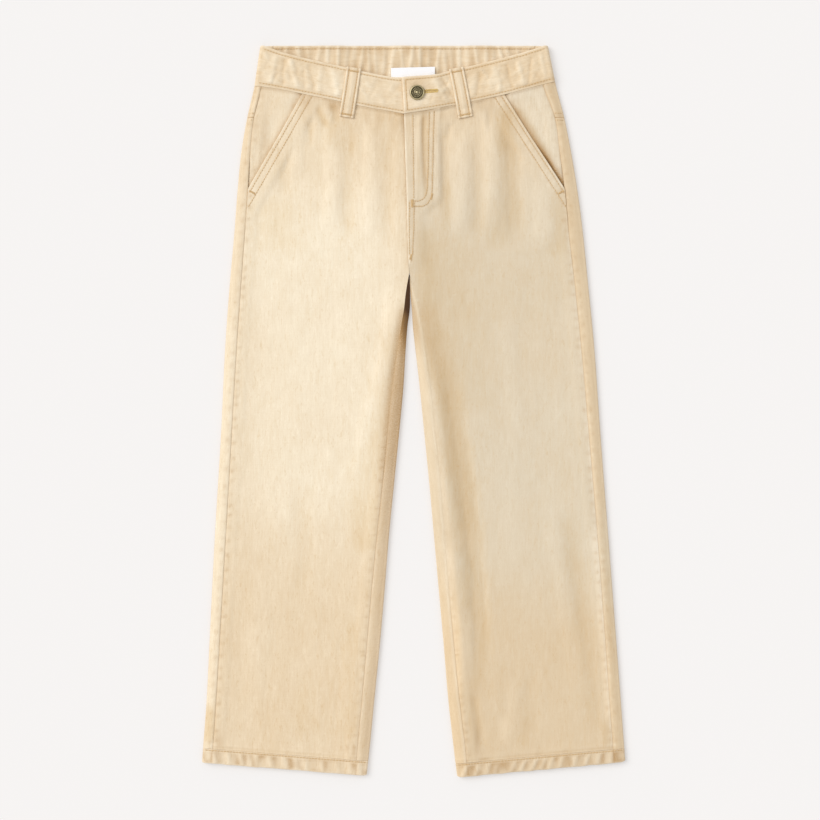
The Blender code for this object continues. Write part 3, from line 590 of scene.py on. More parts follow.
# ---- walls ------------------------------------------------------------------------------------
def spaced(length, step, fine=(0.0, 0.12, 0.32, 0.62, 1.1)):
    """Shares of a length, close together at both ends."""
    count = max(2, round((length - 2 * fine[-1]) / step))
    inner = np.linspace(fine[-1], length - fine[-1], count + 1)
    ends = np.array(fine[:-1])
    return np.concatenate([ends, inner, (length - ends)[::-1]]) / length


def rounded(thick, edge, radius=None):
    """Thickness that closes in a curve at the rims; edge is the distance from the rim. A seam's
    rim has a small radius, so that the two pieces meet flush."""
    k = np.clip(edge / (np.asarray(thick) / 2 if radius is None else radius), 0.0, 1.0)
    return thick * np.sqrt(np.clip(1 - (1 - k) ** 2, 0.02, 1.0))


def seam_rim(thick, edge, radius, depth):
    """A sewn rim: rounded off only that much, so that a flat seam shows only a faint line."""
    return mix(thick, rounded(thick, edge, radius), depth)


SEAM_DEPTH = {"right": 0.85, "left": 0.35}


def normals(points, closed):
    down = np.gradient(points, axis=0)
    if closed:
        across = np.roll(points, -1, axis=1) - np.roll(points, 1, axis=1)
    else:
        across = np.gradient(points, axis=1)
    n = np.cross(down, across)
    return n / np.maximum(np.linalg.norm(n, axis=2, keepdims=True), 1e-9)


def mesh_object(name, verts, faces, slot, material, smooth_shade=True, **values):
    data = bpy.data.meshes.new(name)
    data.vertices.add(len(verts))
    data.vertices.foreach_set("co", (np.asarray(verts) * MM).astype(np.float32).ravel())
    sizes = np.array([len(f) for f in faces]) if isinstance(faces, list) else np.full(len(faces), faces.shape[1])
    flat = np.concatenate([np.asarray(f) for f in faces]) if isinstance(faces, list) else faces.ravel()
    data.loops.add(len(flat))
    data.loops.foreach_set("vertex_index", flat.astype(np.int32))
    data.polygons.add(len(sizes))
    data.polygons.foreach_set("loop_start", (np.cumsum(sizes) - sizes).astype(np.int32))
    data.polygons.foreach_set("use_smooth", np.full(len(sizes), smooth_shade))
    data.update(calc_edges=True)
    data.validate()
    for key, value in values.items():
        value = np.asarray(value, np.float32)
        kind = "FLOAT" if value.ndim == 1 else "FLOAT_VECTOR"
        made = data.attributes.new(key, kind, "POINT")
        made.data.foreach_set("value" if kind == "FLOAT" else "vector", value.ravel())
    data.materials.append(material)
    piece = bpy.data.objects.new(name, data)
    bpy.context.scene.collection.objects.link(piece)
    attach(piece, "root")
    return piece


TREES = {}


def shade_at(name, points):
    """Painted shade and painted highlights on the upper cloth: darker in the folds, lighter on their ridges, and on the
    leg turned from the window.
    """
    x, y, z = points[..., 0], points[..., 1], points[..., 2]
    if "band" in name or "loop" in name or "label" in name:
        return 0.0 * x
    side = "right" if name.endswith("right") else "left"
    value = 0.045 * creases(side, x, y) + 0.16 * hem_drag(side, x, y)
    value = value + 0.013 * noise(x, y, 21.0, 47.0, 241) + 0.009 * noise(x, y, 8.0, 19.0, 242)
    wander = 0.16 * noise(x, y, 6.0, 19.0, 243) + 0.08 * noise(x, y, 2.6, 9.0, 244)
    for owner, depth, half, points in SHADES:
        if owner == side:
            away, along, run = to_path(x, y, path_of(points))
            ends = ease(along / min(22.0, 0.3 * run)) * ease((run - along) / min(22.0, 0.3 * run))
            value = value + depth * ends * np.exp(-(np.abs(away / half + wander) ** 2.5))
    if side == "left":
        value = value + 0.06 * blob(x, y, 475, 130, 70, 62) - 0.03 * blob(x, y, 500, 285, 90, 40)
        value = value + 0.03 * blob(x, y, 582, 330, 10, 90) - 0.05 * blob(x, y, 609, 600, 9, 90)
        value = value + 0.055 * lit_strip(x, y)
    # folded edges catch the light that the ground throws back
    if side == "left":
        rim = 0.15 * bump(x - EDGE_OUT[side](y), 2.4)
    else:
        rim = 0.24 * ease((20.0 - y) / 60.0) * bump(x - EDGE_IN[side](y), 2.6)
    return np.where(z > 2.6, value + rim, np.where(z > 0.7, rim, 0.0))


def wall(name, node, points, thick, up, slot, material, tone, wear, soil, grain, closed=False):
    """A closed wall through a grid of middle-surface points. up is a row and a column where its
    outside faces up, or with a third value of -1, down."""
    rows, columns = points.shape[:2]
    n = normals(points, closed)
    way = up[2] if len(up) > 2 else 1
    if n[up[0], up[1], 2] * way < 0:
        n = -n
    half = np.broadcast_to(np.asarray(thick, float), (rows, columns))[..., None] / 2
    outer, inner = points + n * half, points - n * half
    verts = np.concatenate([outer.reshape(-1, 3), inner.reshape(-1, 3)])
    count = rows * columns
    index = np.arange(count).reshape(rows, columns)
    nxt = np.roll(index, -1, axis=1) if closed else index[:, 1:]
    here = index if closed else index[:, :-1]
    a, b, c, d = here[:-1], nxt[:-1], nxt[1:], here[1:]
    quads = np.stack([a, b, c, d], axis=-1).reshape(-1, 4)
    # the grid's own winding against the outward normal
    p = outer.reshape(-1, 3)
    turn = np.cross(p[quads[:, 1]] - p[quads[:, 0]], p[quads[:, 3]] - p[quads[:, 0]])
    flip = np.median((turn * n.reshape(-1, 3)[quads[:, 0]]).sum(1)) < 0
    if flip:
        quads = quads[:, ::-1]
    faces = [quads, quads[:, ::-1] + count]

    def rim(line):
        """Quads between the two skins along a line of grid points."""
        one, two = line[:-1], line[1:]
        return np.stack([one, two, two + count, one + count], axis=-1)

    def ring(line):
        return rim(np.concatenate([line, line[:1]]))

    top, low = index[0], index[-1]
    edges = [ring(top), ring(low[::-1])] if closed else [rim(top), rim(low[::-1]), rim(index[::-1, 0]), rim(index[:, -1])]
    for e in edges:
        e = e if flip else e[:, ::-1]
        faces.append(e)
    faces = np.concatenate(faces)
    spread = lambda v: np.concatenate([np.broadcast_to(v, (rows, columns)).ravel()] * 2)
    grain = np.broadcast_to(grain, (rows, columns, 3)).reshape(-1, 3) if np.ndim(grain) == 3 else grain
    piece = mesh_object(
        name, verts, faces, slot, material,
        tone=spread(tone), wear=spread(wear), soil=spread(soil), shade=spread(shade_at(name, points)),
        grain=np.concatenate([grain, grain + np.array([0.0, 0.0, 3.0])]),
    )
    if node:
        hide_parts(node)
    TREES[name] = BVHTree.FromPolygons([tuple(v) for v in verts], [tuple(f) for f in faces.tolist()])
    return piece


def grain_of(u, v):
    u, v = np.broadcast_arrays(u, v)
    return np.stack([u, v, 0.0 * u], axis=-1)


# ---- materials --------------------------------------------------------------------------------
def linear(value):
    value /= 255.0
    return value / 12.92 if value <= 0.04045 else ((value + 0.055) / 1.055) ** 2.4


def colour(red, green, blue):
    return (linear(red), linear(green), linear(blue), 1.0)


class Nodes:
    """A short way of writing a node tree."""

    def __init__(self, name):
        self.material = bpy.data.materials.new(name)
        self.material.use_nodes = True
        self.tree = self.material.node_tree
        self.shader = self.tree.nodes["Principled BSDF"]

    def add(self, kind, inputs=(), **settings):
        node = self.tree.nodes.new(kind)
        for key, value in settings.items():
            setattr(node, key, value)
        for key, value in dict(inputs).items():
            self.put(node.inputs[key], value)
        return node

    def put(self, socket, value):
        if isinstance(value, bpy.types.NodeSocket):
            self.tree.links.new(value, socket)
        else:
            socket.default_value = value

    def attribute(self, name, vector=False):
        node = self.add("ShaderNodeAttribute", attribute_name=name)
        return node.outputs["Vector" if vector else "Fac"]

    def math(self, operation, a, b=0.0, clamp=False):
        return self.add("ShaderNodeMath", {0: a, 1: b}, operation=operation, use_clamp=clamp).outputs[0]

    def scale(self, vector, by):
        return self.add("ShaderNodeMapping", {"Vector": vector, "Scale": by}, vector_type="POINT").outputs[0]

    def noise(self, vector, scale, detail=2.0, rough=0.5):
        node = self.add("ShaderNodeTexNoise", {"Vector": vector, "Scale": scale, "Detail": detail, "Roughness": rough})
        return node.outputs["Fac"]

    def ramp(self, value, low, high):
        return self.add("ShaderNodeMapRange", {"Value": value, "From Min": low, "From Max": high}, clamp=True).outputs[0]

    def blend(self, factor, a, b, how="MIX"):
        node = self.add("ShaderNodeMix", data_type="RGBA", blend_type=how)
        node.inputs[0].default_value = 1.0
        self.put(node.inputs[0], factor)
        self.put(node.inputs[6], a)
        self.put(node.inputs[7], b)
        return node.outputs[2]


# painted shadow: the darkest brown, for the deep shade in the pocket's gape and between the legs
SHADOW_BROWN = colour(80, 52, 28)


def denim(name, sand, cream, deep, grain_turn=0.0, mottle=0.10, twill=0.5):
    """Washed cotton twill: slubby grain, diagonal twill, worn high spots, and deeper dye with painted shade in the
    channels, gaps and folds."""
    n = Nodes(name)
    grain = n.attribute("grain", vector=True)
    if grain_turn:
        grain = n.add("ShaderNodeMapping", {"Vector": grain, "Rotation": (0.0, 0.0, grain_turn)}).outputs[0]
    slub = n.noise(n.scale(grain, (0.85, 0.055, 1.0)), 1.0, 3.0, 0.6)
    streak = n.noise(n.scale(grain, (0.30, 0.055, 1.0)), 1.0, 2.0, 0.55)
    squiggle = n.add(
        "ShaderNodeTexNoise",
        {"Vector": n.scale(grain, (0.42, 0.13, 1.0)), "Scale": 1.0, "Detail": 1.5, "Roughness": 0.5, "Distortion": 1.6},
    ).outputs["Fac"]
    cross = n.noise(n.scale(grain, (0.06, 0.9, 1.0)), 1.0, 2.0, 0.55)
    cloud = n.noise(n.scale(grain, (0.055, 0.035, 1.0)), 1.0, 4.0, 0.6)
    speck = n.noise(n.scale(grain, (1.3, 0.75, 1.0)), 1.0, 2.0, 0.6)
    wave = n.add(
        "ShaderNodeTexWave",
        {"Vector": n.scale(grain, (0.90, 0.47, 1.0)), "Scale": 1.0, "Distortion": 1.2, "Detail": 2.0, "Detail Scale": 1.5},
        wave_type="BANDS", bands_direction="DIAGONAL",
    ).outputs["Fac"]
    tone, wear, soil = n.attribute("tone"), n.attribute("wear"), n.attribute("soil")
    weave = n.math("MULTIPLY", n.math("SUBTRACT", slub, 0.5), 0.40)
    for value, share in ((streak, 0.36), (cross, 0.16), (cloud, mottle * 2.4), (speck, 0.20)):
        weave = n.math("ADD", weave, n.math("MULTIPLY", n.math("SUBTRACT", value, 0.5), share))
    weave = n.math("SUBTRACT", weave, n.math("MULTIPLY", n.ramp(squiggle, 0.60, 0.72), 0.22))
    weave = n.math("ADD", weave, n.math("MULTIPLY", n.ramp(squiggle, 0.42, 0.30), 0.12))
    base = n.blend(n.math("ADD", tone, n.math("MULTIPLY", weave, 0.45), clamp=True), sand, cream)
    worn = n.math("MULTIPLY", wear, n.ramp(n.math("ADD", slub, n.math("MULTIPLY", speck, 0.5)), 0.45, 0.85), clamp=True)
    base = n.blend(n.math("MULTIPLY", worn, 0.70), base, colour(250, 238, 216))
    # deeper dye and painted shade in seams, gaps and folds, mixed towards the deep brown
    stain_and_shade = n.math("MULTIPLY", soil, n.math("ADD", n.ramp(speck, 0.15, 0.75), 0.35))
    base = n.blend(n.math("MULTIPLY", stain_and_shade, 0.85, clamp=True), base, deep)
    # above 1 the mark deepens into painted shadow
    base = n.blend(n.ramp(soil, 1.0, 2.0), base, SHADOW_BROWN)
    light = n.math("ADD", n.math("ADD", n.attribute("shade"), 1.0), n.math("MULTIPLY", weave, 0.26))
    # painted shade turns browner as well as darker, and painted highlights paler
    fold, high = n.math("MINIMUM", light, 1.0), n.math("MAXIMUM", light, 1.0)
    red = n.math("MULTIPLY", n.math("POWER", fold, 0.58), n.math("POWER", high, 0.85))
    blue = n.math("MULTIPLY", n.math("POWER", fold, 1.75), n.math("POWER", high, 1.25))
    warm = n.add("ShaderNodeCombineXYZ", {0: red, 1: light, 2: blue}).outputs[0]
    base = n.add("ShaderNodeVectorMath", {0: base, 1: warm}, operation="MULTIPLY").outputs[0]
    n.put(n.shader.inputs["Base Color"], base)
    n.shader.inputs["Roughness"].default_value = 0.92
    n.shader.inputs["Specular IOR Level"].default_value = 0.18
    n.shader.inputs["Sheen Weight"].default_value = 0.12
    n.shader.inputs["Sheen Roughness"].default_value = 0.6
    height = n.math("ADD", n.math("MULTIPLY", slub, 0.9), n.math("MULTIPLY", wave, twill))
    height = n.math("ADD", height, n.math("MULTIPLY", speck, 0.5))
    height = n.math("ADD", height, n.math("MULTIPLY", cross, 0.4))
    normal = n.add("ShaderNodeBump", {"Height": height, "Strength": 0.55, "Distance": 0.00022}).outputs[0]
    n.put(n.shader.inputs["Normal"], normal)
    return n.material


def thread(name, light, dark):
    """Twisted thread."""
    n = Nodes(name)
    grain = n.attribute("grain", vector=True)
    wave = n.add(
        "ShaderNodeTexWave",
        {"Vector": n.scale(grain, (0.55, 0.16, 1.0)), "Scale": 1.0, "Distortion": 0.4},
        wave_type="BANDS", bands_direction="DIAGONAL",
    ).outputs["Fac"]
    vary = n.noise(n.scale(grain, (0.15, 0.15, 0.4)), 1.0, 1.0)
    t = n.math("ADD", n.math("MULTIPLY", wave, 0.5), n.math("MULTIPLY", vary, 0.6), clamp=True)
    n.put(n.shader.inputs["Base Color"], n.blend(t, dark, light))
    n.shader.inputs["Roughness"].default_value = 0.6
    n.shader.inputs["Sheen Weight"].default_value = 0.2
    n.put(n.shader.inputs["Normal"], n.add("ShaderNodeBump", {"Height": wave, "Strength": 0.5, "Distance": 0.0001}).outputs[0])
    return n.material


SAND = colour(217, 189, 150)
CREAM = colour(244, 230, 205)
DEEP_DYE_AND_SHADE = colour(178, 138, 86)
# shaded copies of the same denim: the wearer's left leg lies turned from the light, so its colours are painted greyer
# and darker
SHADED_SAND = colour(219, 193, 156)
SHADED_CREAM = colour(220, 207, 184)
SHADED_WARM_CREAM = colour(222, 207, 181)
FRONT_CLOTH = {"right": denim("denim_front", SAND, CREAM, DEEP_DYE_AND_SHADE), "left": denim("denim_front_shaded", SHADED_SAND, SHADED_CREAM, DEEP_DYE_AND_SHADE)}
BACK_CLOTH = {"right": denim("denim_back", SAND, CREAM, DEEP_DYE_AND_SHADE), "left": denim("denim_back_shaded", SHADED_SAND, SHADED_WARM_CREAM, DEEP_DYE_AND_SHADE)}
HEM_CLOTH = {"right": denim("denim_hem", SAND, CREAM, DEEP_DYE_AND_SHADE, mottle=0.13), "left": denim("denim_hem_shaded", SHADED_SAND, SHADED_CREAM, DEEP_DYE_AND_SHADE, mottle=0.13)}
BAND_CLOTH = denim("denim_band", SAND, CREAM, DEEP_DYE_AND_SHADE, grain_turn=math.pi / 2, mottle=0.16)
THREAD = thread("thread_sand", colour(226, 196, 146), colour(190, 152, 100))
GOLD_THREAD = thread("thread_gold", colour(224, 196, 120), colour(188, 152, 84))


# ---- legs -------------------------------------------------------------------------------------
def front_bounds(side, y, rows):
    d = INWARD[side]
    x0, y0, x1, y1, _ = POCKETS[side]
    foot = SEAM_OUT[side](y1) + d * SIDE_GAP[side] / 2
    start = np.where(y > y1, mix(foot, x0, (y - y1) / (y0 - y1)), rows.side_seam + d * SIDE_GAP[side] / 2)
    edge = FRONT_EDGE(y) + (np.maximum(UNDERLAP(y), -0.06) if side == "right" else 0.0)
    corner = ease((y - CROTCH_Y - 0.1) / 2.6)
    end = np.where(y > CROTCH_Y, mix(SEAM_IN[side](CROTCH_Y) - d * GAP / 2, edge, corner), rows.inseam - d * GAP / 2 * seam_shows(side, y))
    return start, end


def make_front(side):
    d = INWARD[side]
    u = spaced(160.0, 1.75)
    low = 286.0
    start_low, end_low = front_bounds(side, np.array(low), Rows(side, low))
    top_end = FRONT_EDGE(303.0) + (UNDERLAP(303.0) if side == "right" else 0.0)
    t = np.concatenate([np.array([0.0, 0.12, 0.32, 0.62, 1.1]) / 34.0, np.linspace(2.6, 34.0, 19) / 34.0])[:, None]
    x_top, x_low = mix(POCKETS[side][0], top_end, u), mix(start_low, end_low, u)
    x = mix(x_top, x_low, t)
    y = mix(band_low(x_top) - GAP, low, t)
    foot = HEMS[side][0] + GAP
    y0 = np.arange(low - 1.75, foot + 1.4, -1.75)
    y0 = np.concatenate([y0[y0 > 143.0], [142.4, 141.7, 141.1, 140.6, 140.1, 139.7, 139.3, 138.8], y0[y0 < 138.0]])
    y0 = np.concatenate([y0, foot + np.array([1.1, 0.62, 0.32, 0.12, 0.0])])
    rows = Rows(side, y0)
    start, end = front_bounds(side, y0, rows)
    x2 = mix(start[:, None], end[:, None], u)
    y2 = rows.y0[:, None] + rows.slope[:, None] * (x2 - rows.middle[:, None])
    x, y = np.concatenate([x, x2]), np.concatenate([y, y2])
    z = front_z(side, x, y)
    points = np.stack([x, y, z], axis=-1)
    width = np.abs(x[:, -1:] - x[:, :1])
    from_start, from_end = u[None] * width, (1 - u[None]) * width
    from_top = np.concatenate([(t * 34.0).ravel(), np.full(len(y0), 40.0)])[:, None] + 0 * x
    from_foot = np.concatenate([np.full(len(t), 40.0), y0 - foot])[:, None] + 0 * x
    sewn_start = np.where(y < 227.0, from_start, 40.0)
    sewn_end = np.where(y < (200.0 if side == "right" else 146.0), from_end, 40.0)
    free = np.minimum(np.where(y < 227.0, 40.0, from_start), np.where(sewn_end < 39.0, 40.0, from_end))
    across_edge = np.minimum(from_top, from_foot)
    thick = np.minimum(rounded(WALL, free), seam_rim(WALL, sewn_start, 0.25, SEAM_DEPTH[side]))
    thick = np.minimum(thick, seam_rim(WALL, across_edge, 0.25, 0.5))
    thick = np.minimum(thick, seam_rim(WALL, sewn_end, 0.2, SEAM_DEPTH[side] * seam_shows(side, y) ** 2))
    inside = lip_distance(side, x, y)
    lip = (y > 221.0) * bump(inside - 0.4, 1.3)
    fly = (y > 150.0) * bump(from_end, 1.5) * (1.0 if side == "left" else 0.0)
    wear = 0.55 * lip * (0.7 + 0.5 * noise(x, y, 5.0, 7.0, 92)) + 1.0 * fly
    wear = wear + 0.35 * pulses(y, 8.0, 2.2, 91) * (bump(np.where(y < 222.0, from_start, 40.0) - 1.3, 1.2) + bump(np.where(y < 130.0, from_end, 40.0) - 1.3, 1.2))
    soil = np.zeros(np.shape(x))
    # deeper dye and painted shade in the stitch channels
    for row in POCKET_ROWS[side]:
        away, along, _ = to_path(x, y, row)
        soil = soil + 0.26 * bump(away, 0.9) * np.clip(0.80 + 0.6 * noise(x, y, 6.0, 8.0, 195), 0.2, 1.3)
        wear = wear + 0.45 * pulses(along, 6.0, 1.6, 97) * bump(away - 1.7, 0.9)
    if side == "left":
        for row in FLY_ROWS.values():
            away, along, _ = to_path(x, y, row)
            soil = soil + 0.34 * bump(away, 0.9) * np.clip(0.75 + 0.6 * noise(x, y, 5.0, 7.0, 194), 0.2, 1.3)
            wear = wear + 0.30 * pulses(along, 6.0, 1.6, 98) * bump(away - 1.7, 0.9)
        # painted shade in the valley that the zip draws down the fly
        valley, along, run = to_path(x, y, [(9.8, 305.0), (8.8, 284.0), (9.2, 262.0), (11.0, 238.0), (12.0, 218.0)])
        soil = soil + 0.42 * bump(valley, 1.6) * ease(along / 8.0) * ease((run - along) / 25.0)
    else:
        # painted shadow beside the fly's folded edge
        soil = soil + 0.40 * bump(x - FRONT_EDGE(y) + 0.3, 1.0) * ease((y - 146.0) / 8.0)
    # deeper dye and painted shade at the seam line and in the roping's dents
    spots = pulses(y, 11.5, 2.1, 31 if side == "right" else 32)
    from_side = d * (x - SEAM_OUT[side](y))
    strong = 1.0 if side == "right" else 0.9
    soil = soil + (y < 225.0) * strong * (0.26 * bump(from_side, 0.9) + 0.46 * spots * bump(from_side - 3.0, 2.0))
    from_inner = d * (SEAM_IN[side](y) - x)
    spots = pulses(y, 11.5, 2.1, 33 if side == "right" else 34)
    if side == "left":
        wear = wear + 0.50 * ease((210.0 - y) / 40.0) * bump(from_side - 1.5, 0.9)
    shows = seam_shows(side, y)
    # deeper dye and painted shade at the inseam and in its roping's dents
    soil = soil + (y < 120.0) * shows * (0.20 * bump(from_inner, 0.9) + 0.36 * spots * bump(from_inner - 3.0, 2.0))
    nick = place(364.0, 655.0) if side == "right" else place(456.0, 655.0)
    soil = soil + 0.5 * bump(y - nick[1], 1.0) * bump(from_inner - 2.0, 2.6)
    if side == "right":
        # the panel rolls down into shadow beside the fork
        rolled = ease((y + 170.0) / 180.0) * ease((118.0 - y) / 25.0)
        soil = soil + rolled * (0.58 * ease((9.0 - from_inner) / 9.0) ** 1.2 + 0.20 * ease((26.0 - from_inner) / 26.0) ** 1.5)
    else:
        soil = soil + 0.16 * ease((y - 20.0) / 50.0) * ease((125.0 - y) / 25.0) * bump(from_inner, 9.0)
    corner = above_hem(side, x, y)
    soil = soil + 0.30 * bump(corner - 2.2, 1.6) * np.clip(0.35 + 0.9 * noise(x, y, 9.0, 30.0, 94), 0, 1)
    if side == "right":
        soil = soil + 0.30 * blob(x, y, 305.0, 101.0, 8.0, 7.0) + 0.28 * blob(x, y, 331.0, 106.0, 9.0, 7.0)
        soil = soil + 0.38 * blob(x, y, 352.0, 748.0, 9.0, 5.0) * (0.55 + 0.45 * np.sign(np.sin(x * 1.1)))
        soil = soil + 0.30 * blob(x, y, 219.0, 742.0, 4.0, 9.0)
    else:
        soil = soil + 0.34 * blob(x, y, 477.0, 741.0, 4.0, 16.0) + 0.22 * blob(x, y, 463.0, 752.0, 6.0, 8.0)
    # painted shade under the waistband's low edge, uneven in places
    below = band_low(x) - y
    soil = soil + 0.24 * bump(below - 0.8, 1.5) + 0.22 * bump(below - 6.0, 9.0) * np.clip(0.4 + noise(x, y, 6.0, 12.0, 99), 0, 1)
    tone = tone_front(side, x, y) - 0.10 * bump(below - 10.0, 22.0) + 0.10 * bump(below - 14.0, 14.0) * noise(x, y, 7.0, 16.0, 100)
    if side == "left":
        wear = wear + 0.30 * bump(x - 24.6, 2.4) * ease((y - 205.0) / 20.0) + 0.22 * blob(x, y, 470, 140, 50, 60)
    up = (len(x) // 2, x.shape[1] // 2)
    return wall("cloth_front_" + side, "front_" + side, points, thick, up, "denim_front", FRONT_CLOTH[side], tone,
                np.clip(wear, 0, 1), np.clip(soil, 0, 2), grain_of(x, y))


def make_facing(side):
    d = INWARD[side]
    x0, y0, x1, y1, _ = POCKETS[side]
    u = spaced(45.0, 1.7)
    top = seam_top(side)
    t = np.concatenate([np.array([0.0, 0.12, 0.32, 0.62, 1.1]) / 24.0, np.linspace(2.6, 24.0, 13) / 24.0])[:, None]
    at = float(band_low(x0))
    opening = lambda y: mix(x1, x0, (y - y1) / (y0 - y1))
    edge_y = mix(top, YOKE_SIDE_Y, t)
    start = SEAM_OUT[side](edge_y) + d * GAP / 2
    end = opening(mix(at, YOKE_SIDE_Y, t)) + d * LIP_WIDTH
    x = mix(start, end, u)
    y = mix(band_low(x) - GAP, YOKE_SIDE_Y, t)
    y2 = np.concatenate([np.arange(YOKE_SIDE_Y - 1.7, FACING_LOW_Y + 1.4, -1.7), FACING_LOW_Y + np.array([1.1, 0.62, 0.32, 0.12, 0.0])])[:, None]
    x2 = mix(SEAM_OUT[side](y2) + d * GAP / 2, opening(y2) + d * LIP_WIDTH, u)
    x, y = np.concatenate([x, x2]), np.concatenate([y, y2 + 0 * x2])
    out = -lip_distance(side, x, y)
    z = mix(FACING_Z, SEAM_Z - 0.2, ease((out - 6.0) / 14.0))
    free = ease(out / 8.0)
    from_side = d * (x - SEAM_OUT[side](y))
    z = z + free * (0.6 * crumple(x, y, 101) + 0.5 * noise(x, y, 13.0, 34.0, 102) + 0.25 * ridged(x, y, 12.0, 26.0, 104))
    z = z + free * seam_detail(from_side, y, 103)
    below = band_low(x) - y
    z = mix(z, WAIST_Z - 0.15, free * ease((13.0 - below) / 10.0)) + free * 0.85 * bump(below, 1.5)
    points = np.stack([x, y, z], axis=-1)
    width = np.abs(x[:, -1:] - x[:, :1])
    from_top = np.concatenate([(t * 24.0).ravel(), np.full(len(y2), 30.0)])[:, None] + 0 * x
    from_foot = np.concatenate([np.full(len(t), 30.0), (y2 - FACING_LOW_Y).ravel()])[:, None] + 0 * x
    edge = np.minimum(np.minimum(u * width, (1 - u) * width), np.minimum(from_top, from_foot))
    # painted shadow along the lip and under the band, with deeper dye at the seam
    soil = 0.42 * bump(np.maximum(out, 0.0) - 0.4, 3.0) + 0.26 * bump(from_side, 0.9) + 0.28 * bump(below - 0.8, 1.5)
    soil = soil + 0.20 * pulses(y, 11.0, 2.2, 103) * bump(from_side - 3.6, 2.6)
    soil = soil + 0.30 * ridged(x, y, 8.0, 14.0, 106) * free
    if side == "left":
        # painted shadow in the pocket's gape
        gape_y = ease((284.0 - y) / 22.0)
        soil = soil + 0.40 * bump(np.maximum(out, 0.0) - 0.8, 3.6) * gape_y + 0.44 * bump(np.maximum(out, 0.0) - 1.0, 4.6) * ease((322.0 - y) / 16.0)
        soil = soil + 0.28 * blob(x, y, 548, 168, 5, 16)
    else:
        # painted shade of the creases beside the lip
        soil = soil + 0.26 * blob(x, y, 284, 148, 7, 20) + 0.24 * blob(x, y, 265, 130, 4, 24) + 0.30 * blob(x, y, 293, 106, 5, 5)
    tone = tone_front(side, x, y) + (0.10 if side == "left" else 0.0) + 0.12 * noise(x, y, 9.0, 22.0, 105)
    return wall("cloth_facing_" + side, "pocket_facing_" + side, points, seam_rim(WALL, edge, 0.25, 0.6), (8, 12), "denim_front",
                FRONT_CLOTH[side], tone, 0.0 * x + (0.35 if side == "left" else 0.12), np.clip(soil, 0, 2), grain_of(x, y))


STRIP = np.concatenate([np.array([0.0, 0.015, 0.04, 0.08, 0.14]), np.linspace(0.22, 1.0, 7)])
ARC = np.linspace(0.0, 1.0, 9)[1:]
FLAT = np.linspace(0.0, 1.0, 46)[1:]
TAIL_ARC = ARC
TAIL_STRIP = (1.0 - STRIP)[::-1][1:]


def strip_section(t, seam, start, seam_z, low_z, puff):
    """Distance and height along the strip between the seam and the fold: 0 at the seam."""
    q = mix(seam, start, t)
    z = mix(seam_z, low_z, t ** 1.25) + puff * np.sin(math.pi * np.clip(t, 0, 1)) ** 0.9
    return q, z


def back_section(side, rows, below):
    """Distance in from the outer edge and height of each column of a back panel's rows."""
    half = WALL / 2
    width = np.abs((rows.inner if below else CENTRE_BACK_X) - rows.outer)[:, None]
    seam = np.abs(rows.side_seam - rows.outer)[:, None] - SIDE_GAP[side] / 2
    start = half + ROLL
    q1, z1 = strip_section(STRIP, seam, start, SEAM_Z, half + 2 * ROLL, 0.75)
    z1 = z1 + side_strip_detail(side, rows.y0[:, None], seam - q1)
    a = math.pi * (0.5 + ARC)
    q2, z2 = start + ROLL * np.cos(a) + 0 * seam, half + ROLL + ROLL * np.sin(a) + 0 * seam
    if below:
        roll = INNER_ROLL(rows.y0)[:, None]
        end = width - half - roll
        q3, z3 = mix(start, end, FLAT), half + 0 * mix(start, end, FLAT)
        b = math.pi * (1.5 + TAIL_ARC)
        q4, z4 = end + roll * np.cos(b), half + roll + roll * np.sin(b)
        seam_in = np.abs(rows.inseam - rows.outer)[:, None] + GAP / 2 * seam_shows(side, rows.y0)[:, None]
        seam_z = INSEAM_Z(rows.y0)[:, None] + 0.45 * ease((CROTCH_Y - rows.y0[:, None]) / 60.0)
        t = TAIL_STRIP
        q5 = mix(end, seam_in, t)
        z5 = mix(half + 2 * roll, seam_z, 1 - (1 - t) ** 1.25) + 0.6 * ease((CROTCH_Y - rows.y0[:, None]) / 50.0) * np.sin(math.pi * t) ** 0.9
        z5 = z5 + inner_strip_detail(side, rows.y0[:, None], q5 - seam_in)
    else:
        last = width - GAP / 2
        tail = mix(5.0, 0.45 * width, ease((rows.y0[:, None] - 142.0) / 60.0))
        q3, z3 = mix(start, last - tail, FLAT), half + 0 * mix(start, last, FLAT)
        count = len(TAIL_ARC) + len(TAIL_STRIP)
        k = np.linspace(0.0, 1.0, count + 1)[1:]
        q4, z4 = mix(last - tail, last, k), half + 0 * mix(last - tail, last, k)
        q5, z5 = q4[:, :0], z4[:, :0]
    return np.concatenate([q1, q2, q3, q4, q5], axis=1), np.concatenate([z1, z2, z3, z4, z5], axis=1)


def side_strip_detail(side, y, away):
    """Roping and puckers on the strip outside the side seam; away is the distance from the seam."""
    seed = 111 if side == "right" else 112
    z = -0.16 * bump(away, 0.8)
    z = z + 0.22 * pulses(y, 9.0, 1.9, seed) * bump(away - 1.9, 1.8)
    z = z - 0.22 * pulses(y, 13.0, 2.4, seed + 5) * bump(away - 4.0, 2.6)
    return z + 0.10 * noise(away, y, 5.0, 22.0, seed + 9)


def inner_strip_detail(side, y, away):
    seed = 121 if side == "right" else 122
    away = np.abs(away)
    z = -0.16 * bump(away, 0.8)
    z = z + 0.20 * pulses(y, 9.0, 1.9, seed) * bump(away - 1.9, 1.8)
    z = z - 0.16 * pulses(y, 12.0, 2.4, seed + 5) * bump(away - 4.0, 2.6)
    return seam_shows(side, y) * (z + 0.10 * noise(away, y, 5.0, 22.0, seed + 9))


def arc_length(q, z):
    step = np.hypot(np.diff(q, axis=1), np.diff(z, axis=1))
    return np.concatenate([np.zeros((len(q), 1)), np.cumsum(step, axis=1)], axis=1)


